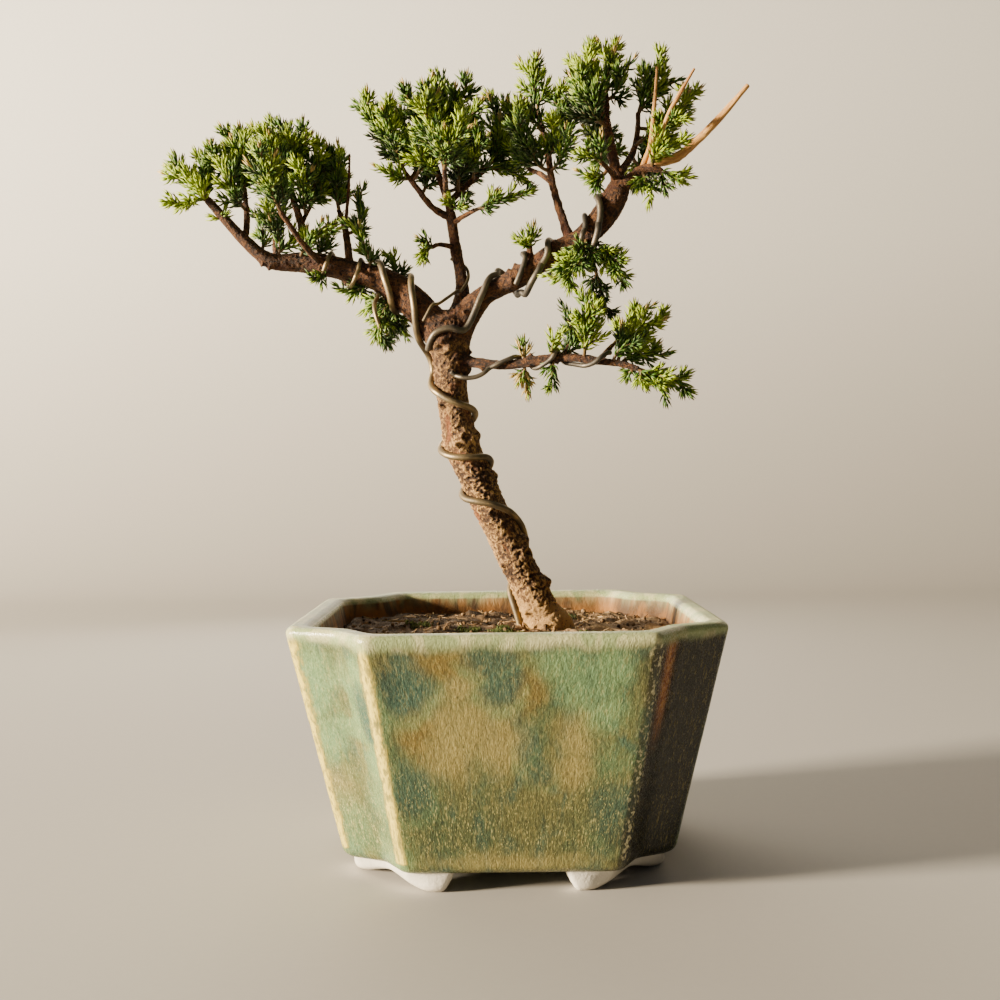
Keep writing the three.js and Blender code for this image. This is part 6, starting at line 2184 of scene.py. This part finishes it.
@dataclass(frozen=True)
class Spray:
    """One spray of needles: a bent stem with side shoots, and shoots on those."""

    name: str
    limb: str
    share: float
    reach: list[float]
    size: float
    fresh: float = 0.55
    dry: float = 0.0
    whorl_gap: float = 1.4
    crown_floor: float = 214.0  # sprays that reach higher get painted light: brighter at their top, darker lower down
    stem_sides: int = 5
    needle_margin: float = 0.5  # least distance of a needle's tip from the sides of the CAD box

    def stem(self, limbs: dict[str, Array]) -> Array:
        """The stem: one soft bend from the limb to the tip, as a curve of three points.

        Args:
            limbs: rows of x, y, z and radius of every limb.

        Returns:
            Points of the stem.
        """
        rows = limbs[self.limb]
        along = self.share * (len(rows) - 1)
        i = min(int(along), len(rows) - 2)
        point = rows[i, :3] + (rows[i + 1, :3] - rows[i, :3]) * (along - i)
        tangent = unit(rows[i + 1, :3] - rows[i, :3])
        radius = float(np.interp(along, np.arange(len(rows)), rows[:, 3]))
        towards = np.array(self.reach, float) - point
        length = np.linalg.norm(towards) - 6.0
        leave = unit(towards)
        tip = point + leave * length
        if self.share == 1:
            leave = unit(leave + 0.6 * (tangent - leave))
            start = point - 0.6 * tangent
        else:
            leave = unit(leave - 0.9 * np.dot(leave, tangent) * tangent)
            start = point + leave * 0.6 * radius
        bend = start + 0.45 * length * leave
        t = np.linspace(0, 1, 25)[:, None]
        return kept_inside((1 - t) ** 2 * start + 2 * t * (1 - t) * bend + t * t * tip)

    def side_shoot(
        self, path: Array, place: float, turn: float, angle: float, length: float, lift: float
    ) -> Array:
        """A shoot that leaves another at an angle, and bends on towards its direction and up.

        Args:
            path: the shoot that bears it.
            place: share of that shoot's length.
            turn: direction round that shoot.
            angle: lean from its direction.
            length: length of the new shoot.
            lift: pull upwards.

        Returns:
            Points of the new shoot.
        """
        at = place * (len(path) - 1)
        i = min(int(at), len(path) - 2)
        root = path[i] + (path[i + 1] - path[i]) * (at - i)
        tangents, side, rise = carried_frames(path)
        out = side[i] * math.cos(turn) + rise[i] * math.sin(turn)
        lean = unit(tangents[i] * math.cos(angle) + out * math.sin(angle) + UP * lift)
        onwards = unit(lean + 0.5 * tangents[i] + 0.25 * UP)
        t = np.linspace(0, 1, 9)[:, None]
        return kept_inside(root + length * (t * lean + 0.42 * t * t * (onwards - lean)))

    def shoots(self, limbs: dict[str, Array], random: np.random.Generator) -> list[Shoot]:
        """All shoots of the spray: the stem, its side shoots, and small ones on those.

        Args:
            limbs: rows of x, y, z and radius of every limb.
            random: the spray's own draws.

        Returns:
            The shoots, the stem first.
        """
        stem = self.stem(limbs)
        length = float(np.linalg.norm(np.diff(stem, axis=0), axis=1).sum())
        hangs = stem[-1, 2] < stem[0, 2] - 2
        lift = -0.05 if hangs else 0.3
        found = [Shoot(stem, 5.9, self.fresh, self.dry, bare=0.14)]
        count = max(3, int(round(length / 2.7 * (0.6 + 0.4 * self.size))))
        for index in range(count):
            place = 0.14 + 0.82 * index / max(count - 1, 1) + random.uniform(-0.02, 0.02)
            reach = self.size * 12.6 * (1 - 0.45 * place) * random.uniform(0.72, 1.08)
            turn = GOLDEN_ANGLE * index + random.uniform(-0.35, 0.35)
            line = self.side_shoot(stem, place, turn, random.uniform(0.68, 0.95), reach, lift)
            sinks = (line[0, 2] - line[-1, 2]) / max(reach, 1.0)
            if sinks > 0 and not hangs:
                line = line[0] + (line - line[0]) * (1 - 0.6 * sinks)
            fresh = self.fresh + random.uniform(-0.34, 0.34)
            scorch = 0.75 * (line[-1, 2] > stem[-1, 2] - 3 and random.uniform() < 0.5)
            found.append(Shoot(line, 5.5, fresh, self.dry, scorch=scorch))
            if reach < 5:
                continue
            for small, at in enumerate((0.3, 0.55)):
                reach_small = reach * (0.68 - 0.42 * at) * random.uniform(0.8, 1.15)
                twist = math.pi * small + random.uniform(-0.5, 0.5)
                fine = self.side_shoot(line, at, twist, 0.72, reach_small, 0.1)
                found.append(Shoot(fine, 4.7, fresh + random.uniform(-0.1, 0.2), self.dry))
        return found

    def needles(self, shoot: Shoot, random: np.random.Generator) -> dict[str, Array]:
        """Roots, directions and looks of one shoot's needles.

        Whorls of three stand at even gaps, each turned half a step against the last. They lean
        out at its base and close up to its tip, which ends in a tuft that points on.

        Args:
            shoot: the shoot.
            random: the spray's own draws.

        Returns:
            Columns by name, with one row for each needle.
        """
        tangents, side, rise = carried_frames(shoot.path)
        gaps = np.linalg.norm(np.diff(shoot.path, axis=0), axis=1)
        along = np.concatenate([[0], np.cumsum(gaps)]) / gaps.sum()
        count = max(3, int(round(gaps.sum() * (1 - shoot.bare) / self.whorl_gap)))
        place = np.repeat(np.linspace(shoot.bare + 0.03, 1.0, count), 3)
        turn = np.tile(np.arange(3) * 2 * math.pi / 3, count) + np.repeat(np.arange(count) * 1.05, 3)
        turn = turn + random.uniform(-0.25, 0.25, len(place))
        tangent, side, rise, root = (
            np.stack([np.interp(place, along, table[:, i]) for i in range(3)], axis=1)
            for table in (tangents, side, rise, shoot.path)
        )
        lean = 0.74 - 0.42 * place**1.5 + random.uniform(-0.12, 0.12, len(place))
        lean = np.where(place > 0.99, 0.3, lean)
        out = side * np.cos(turn)[:, None] + rise * np.sin(turn)[:, None]
        direction = unit(tangent * np.cos(lean)[:, None] + out * np.sin(lean)[:, None])
        length = shoot.needle * (1 - 0.3 * place**3) * random.uniform(0.82, 1.1, len(place))
        fresh = shoot.fresh + 0.3 * (place - 0.5) + random.uniform(-0.14, 0.14, len(place))
        scorch = np.where((place > 0.8) & (tangent[:, 2] > 0.2), shoot.scorch, 0.0)
        dry = np.where(random.uniform(0, 1, len(place)) < shoot.dry + scorch, 0.9, 0.0)
        return {
            "root": root, "direction": direction, "out": out, "length": length, "fresh": fresh, "dry": dry,
        }

    def make(
        self, limbs: dict[str, Array], tree: Tree, finish: bpy.types.Material, seed: int
    ) -> bpy.types.Object:
        """Makes the spray: stems as thin tubes, needles as bent three-sided awls.

        Args:
            limbs: rows of x, y, z and radius of every limb.
            tree: the wood that no needle may start in.
            finish: material of the leaves.
            seed: picks the spray's draws.

        Returns:
            The piece.
        """
        random = np.random.default_rng(seed)
        skin = Skin(f"{self.name}_leaves", ("fresh", "dry", "woody"))
        found = []
        for shoot in self.shoots(limbs, random):
            thick = 0.75 if shoot.bare else 0.45
            radii = np.linspace(thick, 0.3, len(shoot.path))
            rings = tube_points(shoot.path, radii, self.stem_sides)
            old = np.repeat(np.linspace(1.0, 0.15 if shoot.bare else 0.0, len(radii)), self.stem_sides)
            faces = tube_faces(len(radii), self.stem_sides)
            skin.add(rings, faces, fresh=shoot.fresh, dry=shoot.dry, woody=old)
            found.append(self.needles(shoot, random))
        table = {key: np.concatenate([part[key] for part in found]) for key in found[0]}
        root, direction, length = table["root"], table["direction"], table["length"]
        inward = -table["out"] * 0.16 * length[:, None]
        tip = root + direction * length[:, None] + inward
        middle = root + direction * (0.45 * length)[:, None]
        margin = self.needle_margin
        keep = np.all((tip > BOX_LOW + margin) & (tip < BOX_HIGH - margin), axis=1)
        keep &= tree.measure(middle)[0] > -0.1
        root, middle, tip, direction, out = (a[keep] for a in (root, middle, tip, direction, table["out"]))
        side = unit(np.cross(direction, out))
        over = np.cross(direction, side)[:, None]
        ring = side[:, None] * np.cos(THIRDS)[None, :, None] + over * np.sin(THIRDS)[None, :, None]
        thick = (0.31 + 0.024 * length[keep])[:, None, None]
        parts = [root[:, None] + 0.7 * thick * ring, middle[:, None] + thick * ring, tip[:, None]]
        points = np.concatenate(parts, axis=1)
        fade = np.array([-0.12, -0.12, -0.12, 0.02, 0.02, 0.02, 0.16])
        # painted light and shade: in sprays that reach high, needles near the top are brighter and those
        # lower down darker
        rise = 0.0
        if not self.dry and self.reach[2] >= self.crown_floor:
            rise = np.clip(0.03 * (tip[:, 2] - self.reach[2] + 7), -0.28, 0.12)
        fresh = (table["fresh"][keep] + rise)[:, None] + fade
        dry = table["dry"][keep][:, None] + np.array([0, 0, 0, 0, 0, 0, 0.12])
        skin.add(points, copies(AWL_FACES, 7, len(root)), fresh=fresh, dry=dry, woody=0.0)
        piece = skin.make()
        nodes = (self.name,) if self.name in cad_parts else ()
        dress(piece, finish, "foliage", *nodes)
        return piece


@dataclass(frozen=True)
class Crown:
    """All sprays, with the ones that are younger or drier than the rest, and the ones painted darker as
    shade.
    """

    tree: Tree
    young: tuple[str, ...] = (
        "low_bright", "low_big", "low_tip", "left_tip", "left_front", "centre_near", "fourth_right",
        "third_top", "right_jin", "right_cloud_c", "fourth_cloud_b", "second_top", "third_cloud_a",
        "low_far", "low_upright",
    )
    # sprays deep in the crown or under it: painted darker, as shade
    shaded: tuple[str, ...] = (
        "low_dark", "centre_back", "centre_right", "left_under", "left_fork", "second_low", "hang_middle",
    )
    dried: tuple[str, ...] = ("low_under_near", "low_cloud_f")

    def make(self, finish: Leaf) -> None:
        """Makes every spray.

        Args:
            finish: the leaves.
        """
        limbs = {"trunk": TRUNK, **BRANCHES, **TWIGS}
        rows = {name: np.array(table, float) for name, table in limbs.items()}
        material = finish.material()
        for index, (name, (limb, share, reach, size)) in enumerate(SPRAYS.items()):
            fresh = 0.74 if name in self.young else 0.3 if name in self.shaded else 0.5
            dry = 0.6 if name in self.dried else 0.0
            Spray(name, limb, share, reach, size, fresh, dry).make(rows, self.tree, material, 400 + index)


# Everything


def main() -> None:
    """Makes the studio and every piece of the bonsai, in order."""
    logging.basicConfig(level=logging.INFO, format="%(message)s")
    studio = Studio()
    studio.camera()
    studio.light()
    studio.floor()
    pot = PotBody()
    pot.make(Glaze())
    PotFeet().make(Porcelain())
    Soil(pot).make()
    trunk = limb_of("trunk", TRUNK)
    branches = tuple(limb_of(name, rows) for name, rows in BRANCHES.items())
    knobs = tuple(knob_limb(index, row) for index, row in enumerate(KNOBS))
    twigs = tuple(limb_of(name, rows) for name, rows in TWIGS.items())
    jins = tuple(limb_of(name, rows) for name, rows in JINS.items())
    stubs = stub_limbs(trunk, 16, 21)
    for index, branch in enumerate(branches):
        stubs += stub_limbs(branch, (12, 3, 12, 5)[index], 22 + index)
    thick = (trunk, *branches, *knobs, *stubs)
    wood = Wood(Tree(thick), thick, twigs, jins)
    bark = Bark().material()
    wood.make_bark(bark)
    wood.make_twigs(bark)
    wood.make_deadwood(Deadwood())
    tree = Tree((trunk, *branches, *twigs))
    metal = WireMetal().material()
    # a darker copy of the wire metal for the wires on the right branch and the low branch: painted shade
    dark = WireMetal("wire_in_painted_shade", (0.17, 0.14, 0.1), (0.07, 0.062, 0.052)).material()
    for name, wire in WIRES.items():
        finish = dark if name in ("wire_right", "wire_right_second", "wire_low") else metal
        TrainingWire(name, wire["radius"], wire["points"]).make(tree, finish)
    Crown(tree).make(Leaf())


if __name__ == "__main__":
    main()
